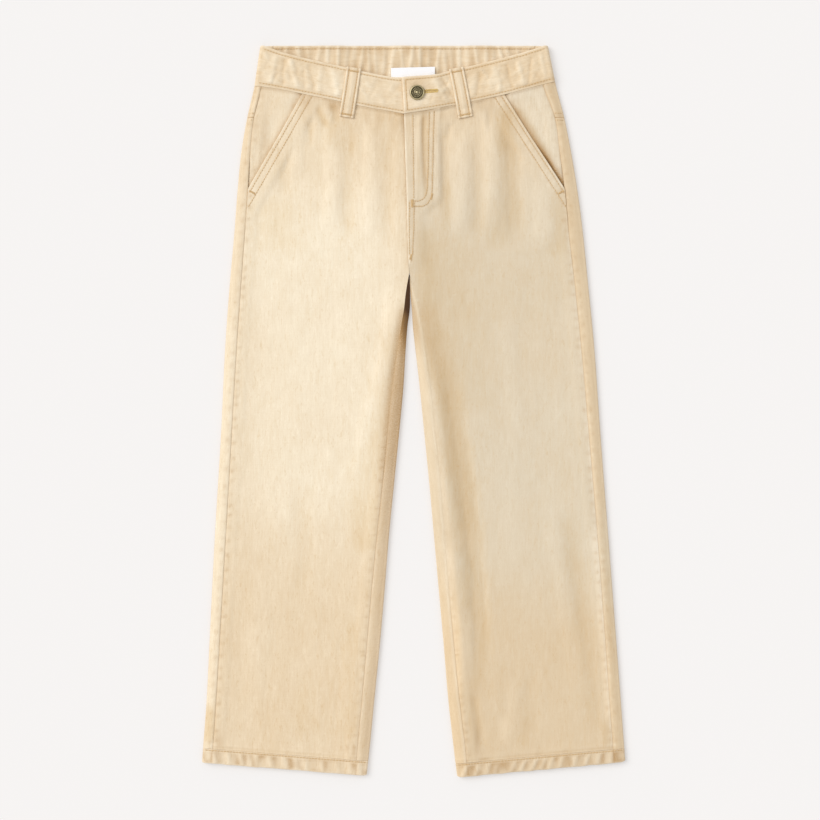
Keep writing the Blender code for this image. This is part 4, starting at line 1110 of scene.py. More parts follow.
def under_detail(x, y, q, seed):
    """The underside lies on the ground: only soft dents, upwards."""
    return np.clip(0.35 * noise(x, y, 30.0, 60.0, seed) + 0.2 * noise(x, y, 12.0, 26.0, seed + 1), 0.0, 1.0)


def back_channels(side):
    """Stitch rows on the underside of a back panel and its yoke."""
    d = INWARD[side]
    rows = []
    reach = abs(CENTRE_BACK_X - EDGE_OUT[side](YOKE_SIDE_Y))
    outer = float(EDGE_OUT[side](YOKE_SIDE_Y))
    for shift in (-2.4, -8.0):
        line = []
        for k in range(22):
            q = mix(6.0, reach - 0.4, k / 21)
            line.append((outer + d * q, mix(YOKE_SIDE_Y, YOKE_MIDDLE_Y, float(ease((q - 6.0) / reach))) + shift))
        rows.append(line)
    if side == "left":
        for shift in (2.0, 7.6):
            rows.append([(CENTRE_BACK_X + shift, 270.0), (CENTRE_BACK_X + shift, 146.0)])
    return rows


def make_back(side):
    d = INWARD[side]
    reach = abs(CENTRE_BACK_X - EDGE_OUT[side](YOKE_SIDE_Y))
    line = lambda q, z: mix(YOKE_SIDE_Y, YOKE_MIDDLE_Y, ease((q - 6.0) / reach) * ease((3.0 - z) / 1.6))
    step = 2.0
    grids = []
    # from the yoke seam down to level rows
    t = np.concatenate([np.array([0.0, 0.12, 0.32, 0.62, 1.1]) / 37.0, np.linspace(2.6, 37.0, 18)[:-1] / 37.0])
    rows = Rows(side, mix(YOKE_SIDE_Y - GAP, 262.0, t))
    q, z = back_section(side, rows, False)
    x = rows.outer[:, None] + d * q
    y = mix(line(q, z) - GAP, 262.0, t[:, None])
    grids.append((x, y, z, q, np.minimum(t * 37.0, 50.0)))
    # level rows above the crotch
    rows = Rows(side, np.arange(262.0, 142.6, -step))
    q, z = back_section(side, rows, False)
    grids.append((rows.outer[:, None] + d * q, rows.y0[:, None] + 0 * q, z, q, np.full(len(q), 50.0)))
    # turning in at the crotch
    upper, lower = Rows(side, np.array([142.0])), Rows(side, np.array([CROTCH_Y]))
    qa, za = back_section(side, upper, False)
    qb, zb = back_section(side, lower, True)
    t = np.linspace(0.0, 1.0, 6)[:-1, None]
    q, z = mix(qa, qb, t), mix(za, zb, t)
    x = mix(upper.outer[:, None] + d * qa, lower.outer[:, None] + d * qb, t)
    grids.append((x, mix(142.0, CROTCH_Y, t) + 0 * x, z, q, np.full(len(q), 50.0)))
    # the leg
    foot = HEMS[side][0] + GAP
    y0 = np.concatenate([np.arange(CROTCH_Y, foot + 1.4, -step), foot + np.array([1.1, 0.62, 0.32, 0.12, 0.0])])
    rows = Rows(side, y0)
    q, z = back_section(side, rows, True)
    x = rows.outer[:, None] + d * q
    y = rows.y0[:, None] + rows.slope[:, None] * (x - rows.middle[:, None])
    grids.append((x, y, z, q, np.full(len(q), 50.0)))
    x, y, z, q = (np.concatenate([g[k] for g in grids]) for k in range(4))
    from_top = np.concatenate([g[4] for g in grids])[:, None]
    length = arc_length(q, z)
    from_foot = np.concatenate([np.full(len(x) - len(y0), 50.0), y0 - foot])[:, None]
    edge = np.minimum(from_top, from_foot) + 0 * x
    flat = ease((1.2 - z) / 0.5)
    lift = under_detail(x, y, q, 131 if side == "right" else 141)
    middle = np.abs(x - CENTRE_BACK_X)
    lift = lift * ease(middle / 12.0)
    for row in back_channels(side):
        away, _, _ = to_path(x, y, row)
        lift = lift * (1 - bump(away, 4.0)) + 0.32 * bump(away, 0.9)
    z = z + flat * lift
    points = np.stack([x, y, z], axis=-1)
    shows = seam_shows(side, y)
    thick = np.minimum(seam_rim(WALL, length, 0.25, SEAM_DEPTH[side]), seam_rim(WALL, edge, 0.25, 0.5))
    thick = np.minimum(thick, seam_rim(WALL, np.where(y < CROTCH_Y, length[:, -1:] - length, 40.0), 0.2, SEAM_DEPTH[side] * shows ** 2))
    on_top = ease((z - 2.6) / 0.8)
    near_side = on_top * (length < length[:, -1:] / 2)
    near_inner = on_top * (length >= length[:, -1:] / 2)
    from_inner = length[:, -1:] - length
    spots = pulses(y, 13.0, 2.4, 116 if side == "right" else 117)
    strong = 1.0 if side == "right" else 0.9
    soil = near_side * strong * (0.28 * bump(length, 0.9) + 0.34 * spots * bump(length - 3.6, 2.2))
    soil = soil + near_inner * shows * (0.22 * bump(from_inner, 0.9))
    wear = near_side * 0.45 * pulses(y, 9.0, 2.0, 151) * bump(length - 1.7, 1.4) + near_inner * 0.35 * bump(from_inner - 1.7, 1.4)
    for row in back_channels(side):
        away, _, _ = to_path(x, y, row)
        soil = soil + (1 - on_top) * 0.4 * bump(away, 0.9)
    inner_half = ease((20.0 - from_inner) / 2.0) * ease((z - 1.1) / 0.8)
    if side == "right":
        # the cloth darkens as it rolls under, and is deep in shadow where the legs meet
        across = np.clip(from_inner / 12.0, 0.0, 1.0)
        rolled = ease((y + 200.0) / 190.0)
        soil = soil + inner_half * (0.12 + 0.56 * rolled + 0.28 * across ** 1.3 + 0.30 * ease((y - 40.0) / 30.0) * across)
        soil = soil + inner_half * (0.9 * ease((y - 92.0) / 24.0) + 0.8 * ease((y - 56.0) / 44.0))
    else:
        # painted shade where the leg's inner side meets the fork
        soil = soil + inner_half * (0.45 * ease((y - 55.0) / 30.0) * ease(from_inner / 5.0))
    tone = np.where(on_top > 0.5, tone_front(side, x, y) + 0.06, tone_back(side, x, y))
    tone = tone + (0.02 if side == "left" else -0.05) * near_inner
    return wall("cloth_back_" + side, "back_" + side, points, thick, (len(x) // 3, 3), "denim_back", BACK_CLOTH[side], tone,
                np.clip(wear, 0, 1), np.clip(soil, 0, 2), grain_of(length, y))


def make_yoke(side):
    d = INWARD[side]
    x_top, _, x_fold, y_fold = BAND[side][-1]
    turned = BAND_WALL / 2 + BAND_ROLL
    reach_top = abs(x_fold - x_top) + BAND_TURN
    reach = abs(CENTRE_BACK_X - EDGE_OUT[side](YOKE_SIDE_Y))

    def top(q, z):
        under = mix(y_fold, BACK_BAND_LOW_Y, np.clip((q - turned) / (reach_top - turned), 0.0, 1.0)) - 0.2
        over = np.minimum(y_fold, band_low(x_fold + d * q)) - GAP
        return mix(over, under, ease((2.8 - z) / 1.4))

    def low(q, z):
        return mix(YOKE_SIDE_Y, YOKE_MIDDLE_Y, ease((q - 6.0) / reach) * ease((3.0 - z) / 1.6))

    t = spaced(34.0, 1.9)
    rows = Rows(side, mix(y_fold, YOKE_SIDE_Y, t))
    rows.side_seam = SEAM_OUT[side](mix(seam_top(side), YOKE_SIDE_Y, t))
    q, z = back_section(side, rows, False)
    x = rows.outer[:, None] + d * q
    y = mix(top(q, z), low(q, z), t[:, None])
    length = arc_length(q, z)
    edge = np.minimum(np.minimum(length, length[:, -1:] - length), np.minimum(t, 1 - t)[:, None] * 34.0)
    flat = ease((1.2 - z) / 0.5)
    lift = under_detail(x, y, q, 161) * ease(np.minimum(t, 1 - t)[:, None] * 34.0 / 6.0) * ease(np.abs(x - CENTRE_BACK_X) / 12.0)
    seam_y = low(q, z)
    z = z + flat * lift
    on_top = ease((z - 2.6) / 0.8)
    # the seam with the back panel, turned down and stitched twice
    z = z - on_top * 0.35 * bump(y - seam_y - 1.0, 1.2)
    z = z + on_top * 1.0 * ease((7.0 - (top(q, z) - y)) / 7.0)
    z = z + on_top * (0.32 * pulses(y, 7.5, 1.7, 165) * bump(length - 2.2, 1.8) - 0.30 * pulses(y, 9.0, 1.9, 166) * bump(length - 5.0, 2.4) - 0.25 * bump(y - seam_y - 4.6, 0.9))
    points = np.stack([x, y, z], axis=-1)
    # deeper dye and painted shade at the seams, and painted shade under the band
    soil = on_top * (0.30 * pulses(y, 9.0, 2.0, 166) * bump(length - 4.6, 2.6) + 0.45 * bump(length, 1.0) + 0.7 * bump(y - YOKE_SIDE_Y, 1.0) + 0.5 * bump(y - YOKE_SIDE_Y - 4.0, 0.8)) + 0.25 * bump(y - top(q, z), 1.5)
    wear = on_top * 0.4 * bump(length - 1.7, 1.3)
    tone = np.where(on_top > 0.5, tone_front(side, x, y) + 0.04, tone_back(side, x, y) - 0.04)
    return wall("cloth_yoke_" + side, "yoke_" + side, points, seam_rim(WALL, edge, 0.25, 0.6), (8, 3), "denim_back", BACK_CLOTH[side],
                tone, np.clip(wear, 0, 1), np.clip(soil, 0, 1), grain_of(length, y))


def make_hem(side):
    """The turned-up hem: a flat closed band round the leg's end, roped along its low edge."""
    top_y, low_y, slope = HEMS[side]
    d = INWARD[side]
    height = top_y - low_y
    s = spaced(height, 0.9)
    rows = Rows(side, mix(top_y, low_y, s), slope)
    half, roll = HEM_WALL / 2, 1.5
    width = np.abs(rows.inner - rows.outer)[:, None]
    seam_in, seam_out = np.abs(rows.inseam - rows.outer)[:, None], np.abs(rows.side_seam - rows.outer)[:, None]
    a = math.pi * (0.5 + np.linspace(0.0, 1.0, 9))
    b = math.pi * (1.5 + np.linspace(0.0, 1.0, 9))
    flat = np.linspace(0.0, 1.0, 66)[1:-1]
    one = 0 * width
    q = [half + roll + roll * np.cos(a) + one, mix(half + roll, width - half - roll, flat), width - half - roll + roll * np.cos(b)]
    z = [half + roll + roll * np.sin(a) + one, half + 0 * q[1], half + roll + roll * np.sin(b) + one]
    over = np.linspace(0.0, 1.0, 112)[1:-1]
    q_over = mix(width - half - roll, half + roll, over)
    knots = [half + roll + one, seam_out, seam_out + 12.0, mix(seam_in, seam_out, 0.5), seam_in - 12.0, seam_in, width - half - roll + one]
    heights = [4.0, 4.9, 4.5, 4.35, 4.5, 4.9, 4.0]
    z_over = np.stack([np.interp(q_over[i], [float(k[i, 0]) for k in knots], heights) for i in range(len(s))])
    q, z = np.concatenate(q + [q_over], axis=1), np.concatenate(z + [z_over], axis=1)
    turned = len(a) + len(flat) // 2
    q, z = np.roll(q, -turned, axis=1), np.roll(z, -turned, axis=1)
    x = rows.outer[:, None] + d * q
    y = rows.y0[:, None] + rows.slope * (x - rows.middle[:, None])
    down = s[:, None] * height
    edge = np.minimum(down, height - down)
    on_top = ease((z - 3.0) / 0.9)
    rope = np.zeros(np.shape(x))
    rng = np.random.default_rng(171 if side == "right" else 172)
    lean = 0.16 if side == "right" else -0.34
    for across in HEM_PUCKERS[side]:
        at = place(across, 0)[0]
        size, tall = rng.uniform(2.0, 3.2), rng.uniform(0.45, 0.95)
        shift = lean * rng.uniform(0.5, 1.5) * (down - height / 2)
        rope = rope + tall * bump(x - at - shift, size)
    channel = bump(down - 1.5, 0.85)
    swell = ease((down - 1.8) / 2.5) * ease((height - down) / 2.0)
    seams = bump(x - rows.side_seam[:, None], 0.7) + bump(x - rows.inseam[:, None], 0.7)
    bulk = bump(x - rows.side_seam[:, None], 6.0) + bump(x - rows.inseam[:, None], 6.0)
    z = z + on_top * (0.95 * rope * swell + 0.24 * noise(x, y, 5.0, 9.0, 173) * swell - 0.30 * channel)
    z = z + on_top * (0.35 * bulk - 0.45 * seams * swell)
    below_rope = np.clip(noise(x, y, 6.0, 22.0, 174), 0, 1)
    z = z + (1 - on_top) * ease((1.6 - z) / 0.5) * (0.4 * below_rope * swell + 0.34 * channel)
    wave = 0.35 * noise(x, 0 * x, 9.0, 1.0, 175) * ease(down / height)
    y = y + wave
    # the corners of the leg's end are a little rounded
    corner = np.minimum(np.abs(x - rows.outer[:, None]), np.abs(x - rows.inner[:, None]))
    y = y + (0.6 if side == "right" else 1.4) * bump(corner, 2.4) * ease((down - 8.0) / 7.0)
    points = np.stack([x, y, z], axis=-1)
    wear = 0.45 * bump(height - down, 1.6) * np.clip(0.5 + noise(x, y, 7.0, 9.0, 177), 0, 1) + 0.30 * np.clip(rope, 0, 1) * swell
    # deeper dye and painted shade at the stitches and seams, and painted shade between the puckers
    soil = 0.42 * bump(down - 1.5, 0.9) + 0.40 * seams * on_top + 0.58 * swell * (1 - np.clip(rope, 0, 1)) * np.clip(noise(x, y, 6.0, 9.0, 176) + 0.4, 0, 1)
    tone = np.where(on_top > 0.5, tone_front(side, x, y), tone_back(side, x, y)) + 0.10
    column = len(a) + len(flat) + len(b) + 50 - turned
    soil = soil + 0.25 * on_top * swell * np.clip(0.6 - rope, 0, 1)
    soil = soil + 0.22 * on_top * bump(down - 3.6, 1.3) * np.clip(0.4 + noise(x, 0 * x, 5.0, 1.0, 178), 0, 1)
    return wall("cloth_hem_" + side, "hem_" + side, points, np.minimum(rounded(HEM_WALL, height - down), rounded(HEM_WALL, down, 0.35)), (len(s) // 2, column), "denim_hem",
                HEM_CLOTH[side], tone, np.clip(wear, 0, 1), np.clip(soil, 0, 1), grain_of(arc_length(q, z), down), closed=True)


# ---- waist ------------------------------------------------------------------------------------
BAND_SPANS = {side: float(len(BAND[side]) - 1) for side in BAND}
BAND_CURVES = {
    side: [smooth([(float(k), row[c]) for k, row in enumerate(BAND[side])], 1) for c in range(4)] for side in BAND
}
BAND_DRAGS = {  # place of the crease's upper and lower end, half width, height
    "right": [((276, 57), (270, 84), 3.0, 0.5), ((291, 62), (298, 88), 2.6, 0.55), ((309, 66), (316, 92), 2.8, -0.45),
              ((321, 68), (317, 94), 2.4, 0.5), ((333, 72), (338, 96), 3.0, 0.55), ((303, 64), (305, 90), 2.2, -0.4),
              ((284, 60), (283, 86), 2.4, -0.35), ((368, 84), (384, 104), 3.2, 0.3), ((376, 80), (398, 88), 3.0, -0.3)],
    "left": [((434, 80), (448, 104), 3.0, 0.55), ((441, 78), (455, 98), 2.6, -0.5), ((430, 96), (452, 86), 3.0, 0.35),
             ((480, 74), (477, 96), 2.6, -0.4), ((494, 70), (500, 92), 2.8, 0.5), ((507, 66), (512, 88), 2.4, -0.5),
             ((518, 64), (524, 86), 2.8, 0.55), ((531, 60), (529, 82), 2.4, -0.4), ((541, 57), (545, 78), 2.6, 0.4)],
}


def make_front_band(side):
    d = -INWARD[side]
    turn_in = BAND_WALL / 2 + BAND_ROLL
    spans = BAND_SPANS[side]
    xt, yt, xl, yl, z = [], [], [], [], []
    if side == "right":
        xs = np.array([16.0, 15.88, 15.68, 15.38, 14.9, 12.0, 8.0, 3.0, -3.0, -8.0])
        top = smooth([(r[0], r[1]) for r in BAND["left"]], 1)(xs) - 0.6
        xt.append(xs), yt.append(top), xl.append(xs + 1.5), yl.append(band_low(xs + 1.5) + 0.6), z.append(np.full(len(xs), BAND_Z))
        s = np.linspace(0.0, spans, 120)
    else:
        s = np.concatenate([np.array([0.0, 0.12, 0.32, 0.62, 1.1]) / 33.0, np.linspace(2.2 / 33.0, 1.0, 26)[:-1], np.linspace(1.0, spans, 104)])
    shift = -d * turn_in * np.clip(s - (spans - 1.0), 0.0, 1.0)
    xt.append(BAND_CURVES[side][0](s) + shift), yt.append(BAND_CURVES[side][1](s))
    xl.append(BAND_CURVES[side][2](s) + shift), yl.append(BAND_CURVES[side][3](s))
    if side == "left":
        z.append(mix(TAB_Z, BAND_Z, ease((xt[-1] - TAB_RAMP[0]) / (TAB_RAMP[1] - TAB_RAMP[0]))))
    else:
        z.append(np.full(len(s), BAND_Z))
    x0, y0, x1, y1 = BAND[side][-1]
    a = math.pi * (0.5 - np.linspace(0.0, 1.0, 11)[1:])
    over = -turn_in + BAND_ROLL * np.cos(a)
    xt.append(x0 + d * over), yt.append(np.full(10, y0)), xl.append(x1 + d * over), yl.append(np.full(10, y1))
    z.append(BAND_WALL / 2 + BAND_ROLL + BAND_ROLL * np.sin(a))
    k = np.concatenate([np.linspace(0.0, 1.0, 6)[1:-1], 1 - np.array([0.62, 0.32, 0.12, 0.0]) / 9.3])
    xt.append(mix(x0 - d * turn_in, x0 - d * BAND_TURN, k)), yt.append(mix(y0, WAIST_TOP_Y, k))
    xl.append(mix(x1 - d * turn_in, x0 - d * BAND_TURN, k)), yl.append(mix(y1, BACK_BAND_LOW_Y, k))
    z.append(np.full(len(k), BAND_WALL / 2))
    xt, yt, xl, yl, z = (np.concatenate(v) for v in (xt, yt, xl, yl, z))
    # over the legs the low edge keeps to their waist line; the underlap stays above it
    yl = mix(yl, np.minimum(band_low(xl), y1), ease((z - 2.4) / 1.2))
    if side == "right":
        yl = yl + 3.2 * ease((xl + 8.0) / 5.0) * (np.arange(len(xl)) < 10)
    height = 37.5
    t = spaced(height, 1.25)[:, None]
    x, y = mix(xt, xl, t), mix(yt, yl, t)
    z = z + 0 * x
    down = t * height
    run = np.concatenate([[0.0], np.cumsum(np.hypot(np.diff(xt), np.diff(z[0])))])[None] + 0 * x
    long = run[0, -1]
    edge = np.minimum(np.minimum(down, height - down), np.minimum(run, long - run))
    on_top = ease((z - 4.2) / 1.2)
    rows = bump(down - 3.1, 0.85) + bump(height - down - 2.9, 0.85)
    body = ease((down - 3.4) / 3.0) * ease((height - down - 3.2) / 3.0)
    detail = 0.25 * body - 0.26 * rows
    flat, _, _ = to_path(x, y, [LOOPS["loop_front_" + side][:2], LOOPS["loop_front_" + side][2:]])
    body = body * (1 - 0.94 * np.exp(-((flat / 8.4) ** 6)))
    for (start, end, half, tall) in BAND_DRAGS[side]:
        away, _, _ = to_path(x, y, [place(*start), place(*end)])
        away = np.abs(away + 0.5 * noise(x, y, 3.0, 6.0, 9))
        detail = detail + 1.9 * tall * bump(away, 0.85 * half) * body
    detail = detail + body * (0.50 * noise(x, y, 10.0, 15.0, 181) + 0.26 * noise(x, y, 4.5, 7.0, 182))
    detail = detail + body * (0.75 * ridged(x + 0.4 * y, y, 12.0, 20.0, 186) - 0.50 * ridged(x - 0.3 * y, y, 10.0, 16.0, 188))
    detail = detail + body * (0.42 * ridged(x + 0.9 * y, y, 7.0, 11.0, 190) + 0.24 * noise(x - 0.6 * y, y, 3.2, 5.0, 192))
    ripple = pulses(run, 6.5, 1.7, 183 if side == "right" else 184, 0.0, 220.0)
    detail = detail + 0.16 * ripple * (bump(down - 4.8, 1.6) + bump(height - down - 4.6, 1.6))
    wear = 0.50 * (bump(down - 0.5, 1.3) + bump(height - down - 0.4, 1.2)) * np.clip(0.75 + 0.5 * noise(x, y, 6.0, 40.0, 187), 0, 1)
    # deeper dye and painted shade in the stitch rows, and painted shade beside the puckers
    soil = 0.34 * rows * np.clip(0.60 + 0.75 * noise(run, down, 8.0, 60.0, 189), 0.1, 1.3)
    soil = soil + 0.12 * ripple * body * (bump(down - 6.0, 3.0) + bump(height - down - 6.0, 3.0))
    if side == "left":
        tab = bump(run - 3.4, 0.85) * (down > 3.0) * (height - down > 2.8)
        detail = detail - 0.34 * tab
        wear = wear + 0.7 * bump(run - 0.5, 1.5)
        soil = soil + 0.46 * tab
        hole, _, _ = to_path(x, y, [place(424.0, 92.2), place(437.0, 91.4)])
        detail = detail + 0.25 * bump(hole - 1.6, 0.9) - 0.5 * bump(hole, 0.7)
        soil = soil + 0.5 * bump(hole, 0.9)
    # the low edge lies down on the leg
    low_edge = ease((2.6 - (height - down)) / 2.6)
    tab_edge = ease((TAB_RAMP[1] - x) / 12.0) if side == "left" else 0.0
    z = z + on_top * (detail - (0.55 + 0.75 * tab_edge) * low_edge)
    points = np.stack([x, y, z], axis=-1)
    # painted highlights and shade: the tone follows the band's creases, lighter on their ridges
    tone = 0.42 + 0.14 * noise(x, y, 24.0, 14.0, 185) - (0.08 if side == "left" else 0.0) + 0.24 * detail * body
    tone = tone + 0.12 * blob(x, y, 420, 98, 16, 10) + 0.10 * blob(x, y, 383, 96, 16, 12)
    up = (len(t) // 2, 40)
    thick = np.minimum(rounded(BAND_WALL, np.where(height - down < 1.5, 40.0, edge)), rounded(BAND_WALL, height - down, 0.55))
    return wall("cloth_waistband_front_" + side, "waistband_front_" + side, points, thick, up, "denim_band", BAND_CLOTH,
                tone, np.clip(wear, 0, 1), np.clip(soil, 0, 1), grain_of(run, down))


def make_back_band():
    left = BAND["right"][-1][0] + BAND_TURN + GAP
    right = BAND["left"][-1][0] - BAND_TURN - GAP
    long, height = right - left, WAIST_TOP_Y - BACK_BAND_LOW_Y
    s, t = spaced(long, 1.1), spaced(height, 1.3)[:, None]
    x, y = left + s[None] * long + 0 * t, mix(WAIST_TOP_Y, BACK_BAND_LOW_Y, t) + 0 * s[None]
    lift = np.max([ease((20.0 - np.abs(x - middle)) / 12.0) for middle in BACK_LOOPS.values()], axis=0)
    rng = np.random.default_rng(191)
    ridge, at = np.zeros(np.shape(x)), left + 4.0
    while at < right - 3.0:
        lean, bend = rng.uniform(-0.22, 0.22), rng.uniform(-1.2, 1.2)
        size, tall = rng.uniform(1.5, 2.7), rng.uniform(0.5, 1.0)
        middle = rng.uniform(0.2, 0.8)
        reach = rng.uniform(0.45, 1.2)
        line = at + lean * (y - 355.0) + bend * np.sin((y - 337.0) / 9.0)
        ridge = ridge + tall * bump(x - line, size) * bump(t - middle, reach)
        at += rng.uniform(5.5, 10.5)
    ends = ease(np.minimum(x - left, right - x) / 8.0) * ease(t * height / 4.0 + 0.35) * ease((1 - t) * height / 4.0)
    edge = np.minimum(np.minimum(s * long, (1 - s) * long), np.minimum(t, 1 - t) * height)
    down = t * height
    row = bump(down - 3.2, 0.9)
    tall = BAND_WALL + ends * (0.95 * ridge + 0.40 * noise(x, y, 5.0, 9.0, 192)) - 0.30 * row
    by_label = ease((30.0 - np.abs(x + 0.8)) / 5.0) * ease((357.0 - y) / 4.0)
    tall = np.minimum(tall, 4.1 - 0.6 * by_label)
    under = lift * (BACK_LOOP_HEIGHT + LAYER) + (1 - lift) * ends * np.clip(0.45 * noise(x, y, 4.5, 26.0, 193), 0, 1)
    under = under + 0.3 * (1 - lift) * (bump(down - 3.2, 0.9) + bump(height - down - 3.2, 0.9))
    thick = rounded(tall - (under - lift * (BACK_LOOP_HEIGHT + LAYER)), edge)
    z = (under + lift * (BACK_LOOP_HEIGHT + LAYER) * 0 + lift * 0 + tall + lift * (BACK_LOOP_HEIGHT + LAYER)) / 2
    points = np.stack([x, y, z], axis=-1)
    # painted shade between the puckers' ridges and in the stitch row; the ridges are lighter, partly wear and partly
    # painted highlight
    soil = 0.36 * row + 0.46 * (1 - np.clip(ridge, 0, 1)) * ends * np.clip(0.55 + 0.6 * noise(x, y, 6.0, 10.0, 194), 0, 1)
    wear = 0.45 * bump(down - 0.4, 1.0) + 0.55 * np.clip(ridge - 0.25, 0, 1)
    tone = 0.40 + 0.14 * noise(x, y, 18.0, 12.0, 195) + 0.28 * np.clip(ridge, 0, 1.3)
    return wall("cloth_waistband_back", "waistband_back", points, thick, (12, 60, -1), "denim_band", BAND_CLOTH, tone,
                np.clip(wear, 0, 1), np.clip(soil, 0, 1), grain_of(x, y))


def make_front_loop(name):
    """A belt loop: over the band from its top edge, down on to the front below it."""
    xt, yt, xb, yb = LOOPS[name]
    long = math.hypot(xb - xt, yb - yt)
    ax, ay = (xb - xt) / long, (yb - yt) / long
    low = float(band_low(xb))
    over = BAND_Z + BAND_WALL / 2 + LAYER
    below = WAIST_Z + WALL / 2 + LAYER + 0.15
    step = (low + 0.3 - yt) / ay
    knots = [(0.0, over), (step * 0.33, over + 0.35), (step * 0.66, over + 0.35), (step, over + 0.1), (step + 1.4, over),
             (step + 4.2, over - 0.55), (step + 7.0, below), (long - 3.0, below), (long, below)]
    s = spaced(long, 0.8)[:, None] * long
    w = spaced(FRONT_LOOP_WIDTH, 0.42)[None] * FRONT_LOOP_WIDTH - FRONT_LOOP_WIDTH / 2
    base = smooth(knots, 1)(s)
    away = FRONT_LOOP_WIDTH / 2 - np.abs(w)
    rope = np.clip(0.75 + 0.5 * noise(w, s, 20.0, 2.6, 204), 0.3, 1.2)
    profile = 1.15 + 0.45 * rope * bump(away - 0.9, 0.75) - 0.34 * bump(away - 2.7, 0.8) + 0.42 * bump(away - 7.0, 1.9)
    tail = ease((s - (long - 8.0)) / 2.0)
    profile = profile + 0.35 * tail - 0.5 * bump(s - (long - 2.6), 0.8) - 0.3 * bump(s - 3.6, 0.8) + 0.08 * noise(w, s, 3.0, 5.0, 201)
    edge = np.minimum(away, np.minimum(s, long - s)) + 0 * profile
    thick = rounded(profile, edge, 0.45)
    z = base + thick / 2 + (profile - thick) / 5 - 0.18 * bump(away, 0.9)
    curve = 0.25 * np.sin(s / long * math.pi)
    x, y = xt + ax * s - ay * (w + curve), yt + ay * s + ax * (w + curve)
    points = np.stack([x, y, z + 0 * x], axis=-1)
    wear = 0.62 * rope * bump(away - 0.8, 1.1) + 0.40 * bump(away - 7.0, 1.5) + 0.4 * bump(long - s, 1.0)
    # deeper dye and painted shade in the stitch channels and at the tucked ends
    soil = 0.40 * bump(away - 2.7, 1.0) + 0.28 * bump(s - (long - 2.6), 1.0) + 0.10 * tail + 0.25 * bump(s - 3.0, 1.6)
    tone = 0.44 + 0.08 * noise(w, s, 5.0, 12.0, 202)
    return wall("cloth_" + name, name, points, thick, (20, 10), "denim_band", FRONT_CLOTH["right"], tone + 0 * x,
                np.clip(wear + 0 * x, 0, 1), np.clip(soil + 0 * x, 0, 1), grain_of(w + 0 * x, s + 0 * x))


def make_back_loop(name):
    middle = BACK_LOOPS[name]
    height = WAIST_TOP_Y - BACK_BAND_LOW_Y - 1.2
    s = spaced(height, 1.0)[:, None] * height
    w = spaced(LOOP_WIDTH, 0.5)[None] * LOOP_WIDTH - LOOP_WIDTH / 2
    away = LOOP_WIDTH / 2 - np.abs(w)
    dip = 0.22 * bump(away - 2.9, 0.8) + 0.22 * (bump(s - 2.8, 0.8) + bump(height - s - 2.8, 0.8))
    edge = np.minimum(away, np.minimum(s, height - s))
    tall = BACK_LOOP_HEIGHT - dip
    thick = rounded(tall, edge)
    z = BACK_LOOP_HEIGHT - tall / 2 + 0 * s
    x, y = middle + w + 0 * s, WAIST_TOP_Y - 0.6 - s + 0 * w
    points = np.stack([x, y, z + 0 * x], axis=-1)
    wear = 0.9 * bump(away - 0.7, 0.9) + 0 * x
    # deeper dye and painted shade in the stitch channels
    soil = 0.5 * bump(away - 2.9, 0.8) + 0 * x
    return wall("cloth_" + name, name, points, thick, (10, 10, -1), "denim_band", BACK_CLOTH["right"], 0.3 + 0 * x,
                wear, soil, grain_of(w + 0 * x, s + 0 * x))


# ---- label ------------------------------------------------------------------------------------
def label_material():
    n = Nodes("label_tape")
    grain = n.attribute("grain", vector=True)
    weave = n.noise(n.scale(grain, (2.2, 0.5, 1.0)), 1.0, 2.0)
    rib = n.add("ShaderNodeTexWave", {"Vector": n.scale(grain, (0.4, 0.4, 1.0)), "Scale": 1.0, "Distortion": 0.2},
                wave_type="BANDS", bands_direction="Y").outputs["Fac"]
    n.put(n.shader.inputs["Base Color"], n.blend(weave, colour(240, 240, 243), colour(252, 252, 254)))
    n.shader.inputs["Roughness"].default_value = 0.55
    n.shader.inputs["Sheen Weight"].default_value = 0.2
    n.put(n.shader.inputs["Normal"], n.add("ShaderNodeBump", {"Height": rib, "Strength": 0.3, "Distance": 0.0001}).outputs[0])
    return n.material


def make_label():
    x0, x1, y0, y1, z0 = LABEL
    s, t = spaced(x1 - x0, 1.2)[None], spaced(y1 - y0, 1.2)[:, None]
    x, y = mix(x0, x1, s) + 0 * t, mix(y1, y0, t) + 0 * s
    y = y + 0.030 * (x - (x0 + x1) / 2) - 0.6
    z = z0 + 0.25 + 0.10 * np.sin(s * 5.1 + 0.7) * (1 - t) - 0.05 + 0 * x
    edge = np.minimum(np.minimum(s, 1 - s) * (x1 - x0), np.minimum(t, 1 - t) * (y1 - y0))
    points = np.stack([x, y, z], axis=-1)
    return wall("white_label", "waist_label", points, rounded(0.45, edge), (6, 10), "label", label_material(), 0.0 * x,
                0.0 * x, 0.0 * x, grain_of(x, y))


# ---- button -----------------------------------------------------------------------------------
def brass_material():
    n = Nodes("antique_brass")
    where = n.add("ShaderNodeTexCoord").outputs["Object"]
    patch = n.noise(where, 700.0, 3.0)
    fine = n.noise(where, 3200.0, 2.0)
    high = n.attribute("wear")
    t = n.math("ADD", n.math("MULTIPLY", high, 0.75), n.math("MULTIPLY", n.math("SUBTRACT", patch, 0.5), 0.7), clamp=True)
    n.put(n.shader.inputs["Base Color"], n.blend(t, colour(62, 54, 36), colour(206, 192, 150)))
    n.shader.inputs["Metallic"].default_value = 0.85
    n.put(n.shader.inputs["Roughness"], n.math("ADD", n.math("MULTIPLY", fine, 0.25), 0.26))
    n.put(n.shader.inputs["Normal"], n.add("ShaderNodeBump", {"Height": fine, "Strength": 0.35, "Distance": 0.00005}).outputs[0])
    return n.material


